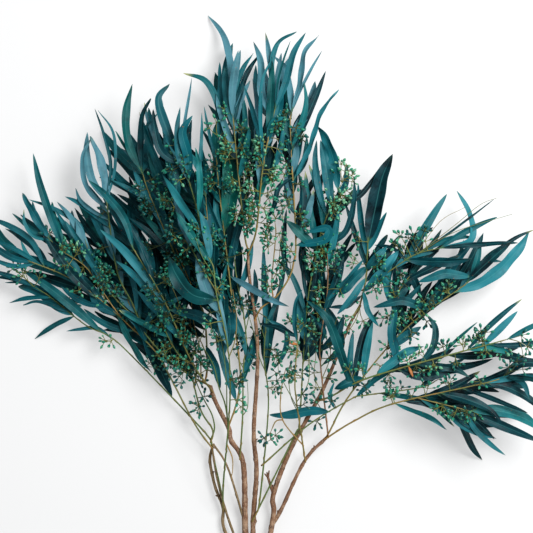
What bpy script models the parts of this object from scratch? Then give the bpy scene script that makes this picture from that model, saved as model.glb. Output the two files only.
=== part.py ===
"""Willow eucalyptus branch with long narrow leaves and seed buds, cut and laid on a flat surface.

The branch lies along +Y with its cut end towards -Y, and +Z is up.
Its origin is on the surface, in the middle of its footprint.
Routes are plan positions in centimetres, read from above: x to the right, y along the branch.
"""

import math
import random

import bmesh
import bpy
from mathutils import Matrix, Vector
from mathutils.bvhtree import BVHTree

for old_object in list(bpy.data.objects):
    bpy.data.objects.remove(old_object, do_unlink=True)

# Driving sizes, metres
CM = 0.01
SEAT_GAP = 0.0004
CLEARANCE = 0.0003
BLADE_THICKNESS = 0.0007
ROOT_SINK = 0.0006
ROOT_REACH = 0.0025
ROOT_WIDTH = 0.0010
ROOT_THICKNESS = 0.0009
TIP_WIDTH = 0.0010
BUD_LENGTH = 0.0058
BUD_RADIUS = 0.0022
HUB_LENGTH = 0.0018
STALK_RADIUS = 0.0006
SHORTEST_STALK = 3 * HUB_LENGTH
BUD_OVER_SURFACE = 0.0002

# Driving sizes of the plan, centimetres
PLAN_ORIGIN = (0.0, 27.7)
VIEW_FOOT = (0.0, 34.6)
VIEW_HEIGHT = 193.0
HIGHEST = 10.5
TWIG_HIGHEST = 7.5
STEM_OVER_SURFACE = 0.02
LEAF_OVER_SURFACE = 0.005
TWIG_DIAMETERS = (0.24, 0.15)
SIDE_TWIG_DIAMETERS = (0.19, 0.13)

FOOT_SIDES = 8
LIMB_SIDES = 6
TWIG_SIDES = 3
CURVE_STEPS = 8
LEAF_TRIES = 150
STRAIGHT_WITHIN = 0.16
TWIG_BULGES = (0, 0.5, 1, -0.5, 1.5, 2, 2.6, 3.2, -1, 4, 5, 6)
TWIG_RISES = (0.07, 0.03, 0.11, 0.15, 0.2)
SEAT_SLIDES = (0, -0.7, 0.7, -1.4, 1.4, -2.1, -2.8, -3.5)
HEADS_BUILT_EVERY = 6
# How steeply a leaf may rise or fall, in degrees, at the first try and by how much more at the last
LEAF_TILTS = (5, 27)
LEAF_ARCH = (0.06, -0.03)
UPPER_ARCH = (0.42, 0.10)
LEAF_ROLL = 0.6
LEAF_TWIST = 0.4
LEAF_LOWEST = (0.1, 0.05)
# A ruled row of leaves: where it starts on its twig, its share of it, and the play in each place
ROW_START = 0.45
ROW_SHARE = 0.53
ROW_PLAY = 0.3
ROW_ENDS = (0.3, 0.99)
ROW_LEAST_SPREAD = 0.15
ROW_SWEEP = 16
ROW_WIDTHS = (0.7, 1.2)
# Heights of a seed head over its twig in centimetres, and how they widen with each try
HEAD_HEIGHTS = (-0.5, 1.2)
HEAD_WIDENING = 0.1
HEAD_LOWEST = 0.6
BUD_FULLEST = 0.55
BUD_LEAN = 0.5
RULED_BUILT_EVERY = 4

# A blade along its length: share of the length, share of the full width
LONG_BLADE = ((0.2, 0.7), (0.45, 1.0), (0.75, 0.65), (1.0, 0.0))
BLADE = ((0.36, 1.0), (0.72, 0.68), (1.0, 0.0))
SHORT_BLADE = ((0.5, 1.0), (1.0, 0.0))
LONG_BLADE_LENGTH = 14.0
SHORT_BLADE_LENGTH = 6.0

# The foot lies on the surface on one of its flat sides
FOOT_DIAMETERS = (1.3, 1.15)
FOOT_ROUTE = ((-0.9, -12), (-1.0, -9.4), (-0.95, -6.6))
# Woody limbs: diameters at both ends and height at the far end in centimetres, then the route
LIMBS = (
    (0.92, 0.50, 2.4, (
        (-1.1, -7.6), (-2.2, -3.5), (-2.75, 0), (-2.8, 5), (-3, 8.9), (-3.9, 10.3), (-4.6, 12),
        (-4.9, 13.6), (-5.6, 15.2), (-6.6, 17), (-7.3, 19.1))),
    (0.74, 0.34, 4.6, (
        (-0.95, -7.6), (-1.5, -3), (-1.75, 0), (-1.6, 2.5), (-1.55, 5), (-1.3, 8), (-1.4, 10),
        (-1.65, 13.2), (-1.4, 16), (-1.4, 20), (-1.15, 24), (-1.6, 27.5), (-1.8, 30.8), (-2.25, 33.5),
        (-2.4, 37))),
    (0.78, 0.34, 3.6, (
        (-0.8, -7.6), (-0.1, -3), (0.57, 0), (0.87, 2), (0.9, 5), (1.4, 6.8), (2, 8), (3.2, 11),
        (4.7, 13.5), (5.4, 15), (6.4, 16.8), (7.4, 18.8), (8.4, 21.2), (9.4, 23.8), (10.5, 26.4),
        (12.2, 29.6))),
    (0.52, 0.40, 2.2, (
        (0.75, 1.0), (1.8, 2.8), (2.8, 5.2), (3.8, 7.3), (4.95, 9.35), (6, 10.6), (7.2, 11.7),
        (8.05, 12.65))),
    (0.46, 0.36, 1.0, (
        (-1.3, -7.6), (-3.6, -3), (-5.3, 0), (-5.65, 3.3), (-6.66, 6), (-7.34, 9.35), (-7, 11.3))),
    (0.36, 0.28, 1.7, (
        (-1.2, -7.4), (-2.9, -3), (-4.3, 0), (-5.4, 3.1), (-6.15, 6), (-6.75, 9), (-7.1, 11.2))),
    (0.30, 0.24, 2.2, (
        (-2.8, 1.2), (-3.3, 2.7), (-4, 4.9), (-4.5, 6.7), (-5, 8.4), (-6.4, 10.7), (-6.9, 11.6))),
    (0.40, 0.34, 1.5, ((0.9, 5.0), (0.55, 6.2), (0.2, 7.2))),
)

# Leafy sprays: name, twigs, leaves, seed heads, and leaves that follow a rule.
# A leaf is its tip, the bends on its way and its base, then its full width in centimetres.
# A ruled row is the twig, the leaf count, the heading and its spread in degrees, and the lengths.
SPRAYS = (
    ("spray_far_left_low", (
        ((-6.9, 11.3), (-8.3, 13.4), (-10, 15.3), (-12.4, 17.8), (-14.8, 20.3), (-17.5, 23),
         (-20.5, 25.6), (-23.5, 27), (-25.5, 28.6), (-28, 30.6), (-30.2, 32)),
    ), (
        ((-36.5, 34.3), (-33, 33.2), (-30.4, 32.2), 0.7),
        ((-34, 32.5), (-30, 32.2), (-26.5, 29.6), 0.5),
        ((-32.2, 32), (-30, 31.7), (-27.5, 30), (-25, 28.2), 1.8),
        ((-31.6, 29.6), (-30, 30.1), (-27.3, 29.4), (-25.6, 28.6), 0.6),
        ((-30.1, 25.2), (-28, 26.7), (-25, 28.1), 0.7),
        ((-26, 26.2), (-22, 26.6), (-20, 25.4), 0.5),
        ((-35.4, 33.2), (-32, 32.9), (-29, 31.2), 0.6),
        ((-33.4, 29.9), (-30.6, 30.6), (-28, 30.5), 0.6),
    ), ((-25, 31.2), (-29.5, 33.2), (-31.8, 33.4), (-33, 34.4)), ()),
    ("spray_far_left_mid", (
        ((-7.2, 11), (-9.4, 14.3), (-11.2, 17.7), (-13, 21.2), (-14.8, 24), (-17, 26.2), (-19.5, 28.5),
         (-22, 30.5), (-25, 32.8), (-28, 34.2), (-31, 35.4)),
        ((-17, 26.3), (-19.6, 28.9), (-21, 31), (-22.5, 33.3), (-24, 35), (-26.5, 36.6), (-28.3, 38.3)),
    ), (
        ((-36.8, 41), (-33, 39.8), (-31, 38.7), (-28.5, 35), 0.8),
        ((-36.3, 38.3), (-32.5, 36.8), (-29.5, 34.8), 0.6),
        ((-31.9, 37.9), (-31, 36), (-29, 34.6), 0.6),
        ((-36.5, 38), (-33.3, 35.8), (-30.5, 35.1), 0.9),
        ((-36.5, 36.4), (-33.5, 34.7), (-30, 34.9), 0.6),
        ((-29.5, 40), (-26, 34.5), (-22, 30.5), 1.3),
        ((-14.9, 20.8), (-17, 23.7), (-19.5, 28.4), 0.9),
        ((-30.3, 49.3), (-29, 43.5), (-28, 41), (-26.2, 36.6), 1.0),
        ((-30.9, 43.3), (-28, 42.2), (-24.8, 41), (-22.6, 34), 0.7),
        ((-30.4, 43.1), (-29.8, 40.5), (-28, 37.6), 0.8),
        ((-31.5, 42), (-31, 39), (-28, 37.9), 0.5),
        ((-27.5, 42), (-25, 38), (-23.9, 35), 0.7),
        ((-25, 40), (-22.5, 35.5), (-21.4, 31.6), 0.9),
        ((-33, 41.5), (-29.4, 38.6), (-25.4, 35.8), 0.8),
        ((-28.4, 36.4), (-24.6, 33.8), (-20.4, 29.4), 0.9),
    ), ((-28.3, 38.9), (-26.6, 37.4), (-25.6, 37.4), (-24.4, 36.8), (-23.8, 34.4), (-22.5, 35),
        (-22, 32.5), (-21.2, 33), (-24.4, 31.4)),
     ((0, 8, 144, 18, 5.5, 9.0), (1, 5, 128, 20, 5.0, 8.0))),
    ("spray_left_tall", (
        ((-7.4, 19.1), (-9.6, 20.3), (-12.7, 22.5), (-14.3, 24), (-15.3, 25.3), (-16.2, 26.8),
         (-17.5, 30), (-19, 32.8), (-19.8, 36), (-20.3, 40), (-20.8, 43.5)),
        ((-16.6, 27.6), (-18.6, 29.4), (-20.8, 31.8), (-22.6, 34.8), (-23.6, 38.2)),
    ), (
        ((-26.2, 43.7), (-23.5, 42.3), (-20.2, 39.6), 0.7),
        ((-24.8, 44.8), (-23.8, 42.8), (-20.3, 40.6), 0.6),
        ((-23.7, 45.6), (-22, 43.6), (-20.5, 41.5), 0.6),
        ((-23.5, 42.5), (-21.5, 39.5), (-19.6, 35), 1.1),
        ((-22.9, 51.5), (-21.3, 47.5), (-20.6, 42.5), 1.2),
        ((-22.8, 51.3), (-24, 47.5), (-22.6, 43.6), (-20.6, 41.9), 0.7),
        ((-22.3, 55.1), (-21.2, 52), (-20.2, 47.5), (-20.8, 43.4), 0.45),
        ((-21.9, 54.9), (-19.4, 50.3), (-20.6, 43), 0.4),
        ((-12.3, 17.8), (-13.5, 20.5), (-16.5, 26.8), 1.7),
        ((-18.7, 41.9), (-17.6, 38), (-16.8, 34), (-16.6, 27.2), 1.0),
        ((-12.9, 35.6), (-14.3, 32.5), (-15.6, 25.8), 0.6),
        ((-10.6, 30.8), (-12.4, 29.9), (-14.5, 28.6), (-16.2, 26.6), 0.9),
        ((-27.2, 43), (-24.6, 39.8), (-22.4, 35), 0.8),
        ((-26.2, 40.6), (-23.8, 37), (-20.6, 31.6), 0.9),
    ), ((-19.4, 30.8), (-18, 34.4), (-21.4, 37)),
     ((0, 9, 122, 18, 7.0, 11.0), (1, 7, 128, 20, 5.0, 9.0))),
    ("spray_left_inner", (
        ((-7.6, 20.3), (-7.7, 22), (-7.9, 26), (-8.2, 28.7), (-8.8, 30), (-9.5, 31), (-10.5, 33),
         (-12, 36.5), (-13.5, 40), (-15, 43.5), (-16.2, 47)),
        ((-8.3, 29), (-9.8, 32.6), (-11.6, 36.6), (-12.6, 40.6), (-12.4, 44.4)),
    ), (
        ((-19.6, 52.2), (-18.8, 50.8), (-16.2, 46.6), 0.5),
        ((-17.4, 58.3), (-17.9, 56.5), (-18.4, 52), (-16.3, 46.8), 1.2),
        ((-20.2, 45.9), (-18.9, 45.1), (-15, 43.2), 0.7),
        ((-15, 56.4), (-16.2, 53.5), (-16.1, 47), 0.9),
        ((-14, 54.6), (-16.8, 50.5), (-15.9, 45.8), 0.6),
        ((-16.5, 54.6), (-15, 50), (-12.5, 44.2), 0.9),
        ((-17, 46), (-14, 42), (-12, 36.8), 1.5),
        ((-16.2, 41.3), (-12.5, 37.5), (-10.6, 33.4), 1.1),
        ((-18, 41), (-14, 37.6), (-9.6, 31.2), 1.2),
        ((-13.4, 52), (-12.8, 48.4), (-12.4, 44.2), 0.7),
    ), ((-16.5, 44.4), (-15.6, 42.2), (-15.3, 42.6), (-13.4, 43.5), (-12.7, 43), (-12.3, 41.5),
        (-11.6, 41), (-15.2, 36.8), (-12.7, 33.5), (-9.2, 25.4), (-8.6, 22.8)),
     ((0, 8, 124, 16, 7.0, 11.5), (1, 7, 118, 20, 6.0, 10.0))),
    ("spray_left_mass", (
        ((-6.8, 19.2), (-8.4, 20.6), (-9.8, 22.4), (-10.8, 24.6), (-11.9, 27), (-13.4, 30.4),
         (-15.4, 33.8), (-17.6, 37.4)),
        ((-9.4, 21.8), (-11.6, 23.4), (-13.4, 26.6), (-14.8, 29.6)),
    ), (
        ((-20.6, 42.4), (-17.4, 38.4), (-14.4, 32.4), 1.1),
        ((-21.6, 39.4), (-17.4, 35.6), (-13, 29.6), 1.2),
        ((-19.6, 35.4), (-16, 32.4), (-12, 27.4), 1.1),
        ((-17.2, 31.8), (-13.8, 28.4), (-10.8, 24.8), 1.0),
        ((-5.6, 22.8), (-6.2, 27), (-7.4, 31.5), 1.5),
    ), ((-11.4, 20.2), (-9.2, 23.6), (-10.4, 22.2), (-11.6, 22.6), (-12.2, 24.4), (-10.2, 25.4),
        (-12.6, 21.8), (-8.4, 22), (-9, 20.8), (-13.4, 23.6), (-11.2, 26.2), (-7.6, 21.4)),
     ((0, 9, 130, 20, 7.5, 12.0), (1, 5, 132, 24, 5.0, 9.0))),
    ("spray_left_upper", (
        ((-5.6, 3.6), (-5.6, 6.5), (-5.3, 9), (-5, 11.5), (-4.9, 13.6), (-4.75, 17), (-4.8, 20), (-5, 24),
         (-5.8, 28), (-6.5, 31), (-6.9, 34.5), (-7.8, 36.5), (-8.2, 38.2), (-9, 42), (-10.2, 46),
         (-11.4, 49)),
        ((-6.5, 31.4), (-8.5, 34.8), (-9.9, 37.4), (-11.2, 41), (-12.2, 44.6)),
    ), (
        ((-13.5, 46.5), (-11.5, 43.5), (-8.4, 38.4), 1.0),
        ((-12.6, 58.3), (-13.9, 58), (-14.1, 56.5), (-13.4, 53.5), (-11.4, 48.8), 1.2),
        ((-14.7, 55), (-14, 50), (-11, 47.6), 1.0),
        ((-9.7, 59.1), (-10, 57), (-11.3, 49), 0.4),
        ((-9.6, 54.2), (-10.9, 52.3), (-10.2, 49), (-10, 45.6), 1.2),
        ((-8.4, 54.6), (-8.5, 50), (-9.3, 42.6), 0.5),
        ((-12.7, 36), (-10.5, 31.5), (-6.4, 30.2), 2.0),
        ((-9, 36.4), (-8, 32), (-5.8, 28.4), 1.5),
        ((-11.8, 41.8), (-9.6, 38.4), (-7.1, 35), 1.0),
        ((-9.2, 50), (-8.6, 46), (-8.8, 41.4), 0.8),
    ), ((-12, 50.5), (-11.5, 48.6), (-10.8, 47.7), (-12.5, 47.3), (-11.4, 45.8), (-12.3, 38.9),
        (-10.3, 38), (-10.5, 36.7), (-9, 39.5), (-7.5, 38.9)),
     ((0, 10, 112, 18, 6.5, 10.5), (1, 6, 122, 22, 6.0, 9.5))),
    ("spray_centre_left", (
        ((-4.8, 13.8), (-4, 16.5), (-3.5, 19), (-3.5, 22), (-3.8, 24), (-4.2, 27.5), (-4.7, 31),
         (-5.2, 35), (-5.6, 39), (-6, 43), (-6.4, 47), (-6.2, 51)),
        ((-4.3, 28), (-6, 31.6), (-7.2, 35.4), (-7.6, 39.6), (-7.9, 44)),
    ), (
        ((-8.1, 55.4), (-7.4, 51.6), (-6.3, 48), 0.4),
        ((-10.8, 59.7), (-7.7, 58.5), (-5.9, 54), (-6.2, 50.8), 0.9),
        ((-6.1, 61.1), (-6, 58), (-6.2, 51), 0.8),
        ((-5.9, 50.5), (-4.6, 46), (-5.5, 39), 2.1),
        ((-5.2, 22.2), (-6.3, 28), (-5.4, 35.4), 0.7),
        ((-6.6, 26), (-5.6, 22.4), (-3.9, 17), 1.1),
        ((-4.8, 29.8), (-2.8, 24.4), (-2.4, 21), (-3.5, 18.4), 0.8),
        ((2.9, 29.4), (0, 30.6), (-2, 31.8), (-4.8, 33.4), 0.9),
        ((-8.4, 50), (-7.4, 46), (-6, 42.6), 0.9),
        ((-2.6, 44), (-3.6, 40), (-5, 35), 0.9),
        ((-2.6, 22.9), (-3.4, 26), (-5, 29.6), 1.0),
    ), ((-8.7, 46), (-7.2, 47.6), (-5.5, 51.4), (-6.5, 53.4)),
     ((0, 10, 100, 20, 6.0, 10.0), (1, 7, 116, 18, 6.0, 10.0))),
    ("spray_inner_olive", (
        ((-3.2, 9.9), (-3.5, 12), (-3.3, 14), (-3.1, 15.2), (-3.2, 18), (-3, 21.5), (-2.6, 24.4),
         (-3, 28.6), (-3.8, 32.4), (-4.2, 36)),
    ), (
        ((-5.5, 30), (-4, 31.2), (-2.9, 28.4), 0.6),
        ((-7.6, 40), (-6, 36.6), (-4, 34), 0.9),
        ((-1.8, 38), (-2.4, 34.6), (-3.6, 31.6), 0.8),
    ), ((-3.6, 29.8), (-2.2, 29.6)),
     ((0, 5, 96, 24, 5.0, 8.0),)),
    ("spray_green_low", (
        ((-7, 11.9), (-7, 13.4), (-7.9, 14.9), (-8.7, 16.4), (-9.2, 18), (-9.6, 20.6), (-10.4, 23.6),
         (-11.8, 26.8), (-12.4, 30)),
    ), (
        ((-17.8, 34.4), (-15, 31), (-11.6, 26.4), 1.1),
        ((-14.8, 36.4), (-14, 32.8), (-12.3, 29.4), 1.0),
        ((-12.6, 37.4), (-12.2, 34), (-12.4, 29.8), 0.9),
    ), ((-12.6, 27.4), (-9.6, 24), (-10.6, 21)),
     ((0, 6, 124, 22, 5.0, 9.0),)),
    ("spray_top_left", (
        ((-2.4, 36.7), (-2.9, 38.8), (-3, 40), (-3.2, 43), (-3.5, 45.5), (-3.6, 48), (-3.9, 50),
         (-3.9, 52), (-4.2, 54), (-4.6, 56.5)),
    ), (
        ((-7.6, 67.2), (-6.3, 65.5), (-5.2, 63.7), (-4.6, 60), (-4.6, 56), 0.9),
        ((-3.4, 62.7), (-4.1, 59), (-4.5, 55.8), 0.8),
        ((-1.7, 62.3), (-3.5, 59.5), (-4.3, 54.8), 0.7),
        ((-0.7, 62.3), (-3, 58.8), (-4, 53), 0.8),
        ((-1.8, 59), (-1.2, 54.5), (-1.6, 50), (-3.5, 46.4), 0.6),
        ((-6.6, 57), (-5.6, 53.4), (-3.7, 49.2), 0.8),
        ((-5.4, 60.4), (-5.4, 56.8), (-4, 52.4), 0.7),
    ), ((-4.8, 54.5), (-3.2, 52.4), (-5.4, 50.6), (-3, 50), (-2.4, 48), (-5, 48.5), (-2.6, 46.4),
        (-2.2, 43.4), (-1.9, 41.6), (-2.3, 39.6), (-4, 41.4)),
     ((0, 6, 96, 22, 6.0, 9.0),)),
    ("spray_top_middle", (
        ((-2.3, 36.9), (-1.8, 38.2), (-1.3, 39.5), (-1.1, 41), (-0.8, 44), (-0.4, 48), (0.3, 51), (0.9, 54),
         (1.3, 56)),
    ), (
        ((-1.7, 63.8), (-0.7, 61.5), (-0.8, 58), (0.9, 53.6), 1.0),
        ((-0.15, 65), (0.4, 62), (1.2, 55.4), 0.8),
        ((3.9, 65.1), (2, 64.2), (0.5, 61.5), (1.3, 55.8), 0.7),
        ((5.1, 65), (3.3, 61.8), (2.5, 58.5), (1.1, 54.8), 0.9),
        ((0.9, 62), (-0.8, 57.4), (-0.4, 47.6), 0.5),
        ((0.8, 61.3), (0.6, 57), (0.3, 51), 1.0),
        ((3.1, 63.9), (1.6, 59.3), (1.2, 55.2), 0.3),
        ((2.8, 53.8), (1.4, 54.4), (0.3, 50.8), 0.9),
        ((1.3, 45.8), (-0.2, 46.2), (-0.9, 43.4), 1.1),
        ((-1.4, 53), (-1.2, 50), (-0.8, 44.4), 0.8),
        ((-2.9, 58), (-1.6, 54.4), (-0.2, 48.8), 0.7),
    ), ((-0.2, 49.4), (1, 47), (-2, 44.5), (0.3, 44), (-0.9, 50.9), (1.6, 49.8), (2, 51), (-0.2, 42.2),
        (0.2, 40.2), (-1.9, 42.4), (-2.4, 40.6)),
     ((0, 5, 88, 20, 6.0, 9.0),)),
    ("spray_top_right", (
        ((-1.5, 27.6), (-0.7, 29.2), (0.8, 30.3), (2, 31.6), (3, 33.3), (3.5, 35), (3.8, 38.5), (3.5, 41),
         (3.4, 43.5), (3.3, 46), (3.2, 49), (3.1, 52), (3.3, 55)),
        ((0.8, 30.4), (0.7, 33), (0.9, 36), (1.2, 38.6), (1.1, 40.4)),
    ), (
        ((6.8, 64.6), (5.15, 63.3), (4.8, 60), (3.2, 54.6), 0.8),
        ((7.2, 62.6), (5, 58.8), (3.3, 54.8), 0.4),
        ((0.9, 62), (2.7, 59.5), (3.3, 54.4), 0.9),
        ((7.7, 60), (6.3, 56.5), (3.2, 49.5), 0.9),
        ((9.4, 57.6), (7.2, 54.8), (5.6, 50), (3.3, 45.6), 0.7),
        ((4.9, 58.5), (5, 54.6), (3.2, 50), 0.8),
        ((1.1, 52.9), (2.4, 51.6), (3.2, 48.6), 0.7),
        ((0.1, 40.8), (1.2, 43), (1.8, 45.4), (3.3, 46.2), 0.7),
        ((4.2, 46.6), (4.8, 43), (3.6, 39.8), 1.1),
        ((2.6, 42), (2.2, 37), (2.9, 33), 0.7),
        ((5, 39), (7, 39.8), (9.4, 38.6), (9.8, 36.8), 1.1),
    ), ((3.9, 52.6), (4.4, 51.6), (2.3, 53.8), (2.4, 54.6), (2.6, 47.5), (2.2, 46.6), (4.2, 45.3),
        (2.7, 43.3), (1.9, 42.6), (4.4, 41.4), (4.9, 40.9), (5, 39.8), (1.2, 41), (1.9, 38.9), (0.2, 37.7),
        (-0.2, 38.6), (1.9, 36.7), (1.6, 35.2), (0.1, 34), (1.3, 33.6), (0.2, 32), (1.5, 32.2), (2.2, 34.5),
        (3, 36.6)),
     ((0, 6, 84, 20, 5.5, 8.5),)),
    ("spray_centre_right", (
        ((-1.3, 1.9), (0.4, 5.6), (1.5, 8), (2.7, 10.6), (3.7, 12.8), (4.3, 14.6), (4.5, 20), (4.7, 23),
         (4.9, 26), (5.2, 29), (5.8, 33), (6.6, 37), (7.4, 40), (8.6, 42.8), (9.8, 45.5)),
    ), (
        ((6.5, 53), (8.5, 49.5), (9.2, 44.4), 1.4),
        ((5, 47), (5.5, 42.5), (6.5, 37), 0.9),
        ((5.5, 47.8), (7, 43.5), (7.3, 39.6), 0.9),
        ((6.5, 51), (6.4, 46.5), (7.8, 41), 0.9),
        ((7, 51), (7.7, 47.6), (8.3, 42.4), 1.3),
        ((2.5, 40.6), (4.6, 38.7), (6.8, 36.7), 1.3),
        ((9.3, 37.2), (8.4, 38.6), (6.7, 37.4), 0.8),
        ((4.9, 38.2), (4.6, 34.5), (5.3, 30), 0.6),
        ((6, 38.4), (6.6, 33.6), (5.2, 28.8), 0.8),
        ((1.2, 35.6), (3.6, 33), (5.1, 28), 0.7),
        ((11.4, 46), (11.2, 41.5), (10, 38.8), (6.6, 36.8), 0.8),
        ((15, 47.8), (12.2, 43.8), (8.6, 42.7), 0.7),
    ), ((9.7, 48), (10.4, 47), (11.2, 46.5), (8.9, 46.6), (8, 44.2), (10.4, 43.6), (8.8, 41.6),
        (6.2, 34.4), (7.8, 35), (6.8, 35.8), (8.6, 36.2), (7.6, 37.6), (9.2, 37.4), (5.6, 36.4),
        (8.2, 38.6), (6, 31.4), (4, 27.4), (5.9, 26.4), (3.9, 23.6), (5.6, 22.4), (3.6, 20.2)),
     ((0, 5, 78, 22, 5.0, 8.0),)),
    ("spray_centre", (
        ((-1.2, 2.2), (-0.85, 4.5), (-0.75, 6.5), (-0.5, 8.5), (-0.25, 10), (0.05, 13.5), (0.25, 16.5),
         (0.05, 18.8), (-0.2, 20.8), (-0.3, 22.6), (-0.2, 25), (0, 28)),
    ), (
        ((0.1, 31.4), (0.3, 26.6), (-0.2, 21.4), 1.3),
        ((1, 21.3), (2.4, 23.6), (2.7, 26), (0, 27.8), 0.7),
        ((-0.4, 37.3), (-0.3, 32.4), (-0.1, 26.4), 0.8),
        ((2.4, 35.6), (1.8, 31.6), (-0.1, 27), 0.6),
    ), ((0.8, 18.9), (1.5, 19.8), (1.3, 22.8), (0.9, 23.8), (-3.4, 29.2)), ()),
    ("spray_crossing_low", (
        ((-0.35, 8.9), (0.5, 9.7), (2, 11.2), (3.5, 12.4), (5.4, 14), (7.5, 15.3), (9.3, 16.4), (11, 17.4),
         (13, 17.9), (17, 18.4), (20, 18.9), (22.4, 20)),
    ), (
        ((0.4, 15.35), (4.5, 15.4), (6.2, 16.2), (8.2, 15.9), 1.3),
        ((8.8, 19.6), (8.2, 17.6), (8.8, 16.2), 0.5),
        ((23.6, 16.4), (20, 17.4), (14.6, 18.1), 0.7),
        ((18.4, 22), (15, 20.6), (11.4, 17.7), 0.8),
        ((25.6, 22.6), (23, 21.2), (19.8, 19), 0.9),
    ), ((6.6, 14.4), (8.4, 17.2), (12.7, 19.1), (16, 19), (17.5, 18.9), (6.4, 17.2)), ()),
    ("spray_e_buds", (
        ((4.95, 9.5), (4.75, 11.3), (4.6, 12.8), (4.2, 14.5), (3.9, 17), (3.7, 20), (3.9, 23), (4.1, 26)),
        ((4.75, 11.4), (3.4, 13), (2.1, 14.65), (1.9, 16), (1.85, 18), (2.2, 19.7), (2.5, 21.4)),
        ((2.1, 14.7), (1.2, 14.5), (0.7, 13.8), (0.5, 13)),
    ), (
        ((4.6, 31.6), (3.6, 28.8), (4, 24.6), 0.6),
        ((-0.9, 27.2), (2, 26.5), (4.1, 25.4), 0.8),
    ), ((-0.4, 12.3), (0.6, 12), (1.3, 12.6), (3, 21.4), (4.7, 20.8), (2.8, 20.4), (4.8, 18), (3, 17.6),
        (4.9, 16.7), (1.2, 20.8), (3.1, 23.5), (3, 27.6), (4.9, 27), (2.9, 25)), ()),
    ("spray_fork_left", (
        ((8, 12.6), (7.6, 15), (7.35, 17.5), (7.2, 19), (7, 22), (7, 25), (7.4, 28), (7.9, 31.4), (8, 34.6),
         (7.9, 37)),
    ), (
        ((10, 35.9), (9, 32.4), (7.4, 28.4), 1.2),
        ((5.6, 28.5), (7.3, 26.4), (8.3, 26.3), (7, 24.6), 0.5),
        ((5.2, 30.6), (8.6, 28), (9.7, 23), (7, 21.6), 1.0),
        ((9.4, 42), (8.8, 38.4), (7.9, 34.4), 0.9),
        ((12.6, 35.6), (10.6, 33), (7.7, 30), 0.7),
    ), ((9, 32.3), (7, 31.9), (9.7, 31.6), (6.8, 30), (6, 29.3), (6.3, 24.3), (8.2, 24.5), (8.3, 22.7),
        (6, 20.8), (6.3, 18.8), (8.3, 20.2), (7, 34), (8.9, 34.2), (7.2, 36.4), (8.6, 36.6)),
     ((0, 4, 74, 24, 5.0, 7.5),)),
    ("spray_right_low", (
        ((8.1, 12.5), (9.7, 13.6), (11.3, 14.5), (13.5, 15.5), (16.5, 16.8), (19.5, 17.6), (22.5, 18.2),
         (25.5, 18.8), (28.5, 19.5), (31, 20.4)),
        ((19.6, 17.7), (22, 16.7), (24.4, 16.2), (26.6, 15.8)),
    ), (
        ((37, 20.8), (34, 22.4), (30.8, 20.3), 1.3),
        ((37.5, 19.8), (33, 20.3), (28.4, 19.5), 0.9),
        ((36, 15.8), (32.6, 18.4), (28.6, 19.4), 1.2),
        ((34.2, 17.4), (33.4, 19.4), (31, 20.3), 0.7),
        ((33.9, 15.6), (29, 17.6), (25.4, 18.8), 0.7),
        ((36, 13), (32, 15.6), (26.4, 15.9), 1.6),
        ((35.5, 11.9), (30, 14.2), (25.4, 16), 1.2),
        ((30.4, 14.6), (27.6, 16.8), (22.6, 18.2), 1.1),
        ((29.4, 11.4), (27, 13.4), (22.4, 16.7), 0.8),
        ((28, 9.5), (26.6, 11.4), (24.6, 16.2), 1.0),
        ((31, 10.1), (27.6, 12.8), (25.6, 16), 0.7),
        ((24.4, 13.8), (22.8, 15.4), (19.8, 17.6), 0.5),
        ((23.4, 13.4), (21.4, 14.9), (16.6, 16.8), 0.7),
    ), ((16.4, 18), (20.4, 19), (23.6, 19.6), (29.4, 21.2), (32.6, 22.4)),
     ((0, 5, 4, 22, 5.5, 8.5), (1, 4, -24, 20, 5.0, 8.0))),
    ("spray_right_middle", (
        ((12.1, 29.4), (12.6, 31.2), (12.9, 33), (13.2, 36), (13.2, 38.4)),
        ((12.7, 31.6), (14.8, 33), (16.5, 34.2), (18, 35.4), (20, 36.4), (22.6, 37)),
    ), (
        ((16.4, 49.2), (15.5, 48), (14.9, 45.5), (14.1, 42), (13.2, 37.6), 2.2),
        ((11.9, 45.4), (12.2, 41.5), (13.1, 35.6), 0.8),
        ((10.2, 42.9), (11.3, 39.5), (12.9, 34.4), 0.7),
        ((15.6, 41.6), (14.6, 39.6), (13.2, 36.6), 0.9),
        ((17.2, 38.6), (15.4, 35.8), (13, 32.4), 1.0),
        ((23.4, 44), (21, 40.3), (18, 35.8), 1.1),
        ((24.7, 44.4), (26.6, 41), (27.2, 38.4), (22.4, 36.8), 0.9),
        ((29.5, 43.3), (24.6, 39.6), (20, 36.8), 0.3),
        ((26.9, 38.4), (23.6, 38.2), (19.8, 36.7), 0.8),
        ((32.6, 37.7), (27.9, 37.5), (22.4, 37.3), 0.7),
        ((26.7, 35.6), (23, 35.2), (18.2, 35.2), 1.3),
        ((14, 37.4), (16.4, 37), (18, 35.7), 0.5),
    ), ((17.4, 38.6), (18.4, 38.4), (19, 38.8), (16.8, 37.4), (15.5, 33.3), (17.5, 33.5), (14.4, 32.4),
        (20.6, 38), (14.6, 35.2)),
     ((0, 4, 72, 26, 5.0, 8.0), (1, 5, 36, 18, 5.0, 8.5))),
    ("spray_right_inner", (
        ((8.05, 12.8), (8.9, 14.3), (10, 16.3), (11, 18.2), (12.5, 20.2), (14, 22), (15.5, 23.8), (17, 25.5),
         (18, 26.5), (19.5, 27.6), (21.4, 29), (23, 30.3), (24.5, 31.2), (25.7, 32.2), (26.8, 33.6)),
        ((15.6, 24), (15.9, 26.4), (16.4, 29), (17.4, 31.8), (18.8, 33.6)),
    ), (
        ((14.6, 28.9), (12.5, 25.5), (11, 18.6), 1.0),
        ((13.8, 27.4), (13, 24), (12.4, 20.2), 1.0),
        ((16.8, 21.9), (16.6, 24.2), (16, 26.6), 1.2),
        ((18.2, 31), (17.6, 28.2), (17, 25.6), 0.9),
        ((20, 30.6), (18.6, 33.4), (17.4, 31.8), 1.1),
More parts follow.
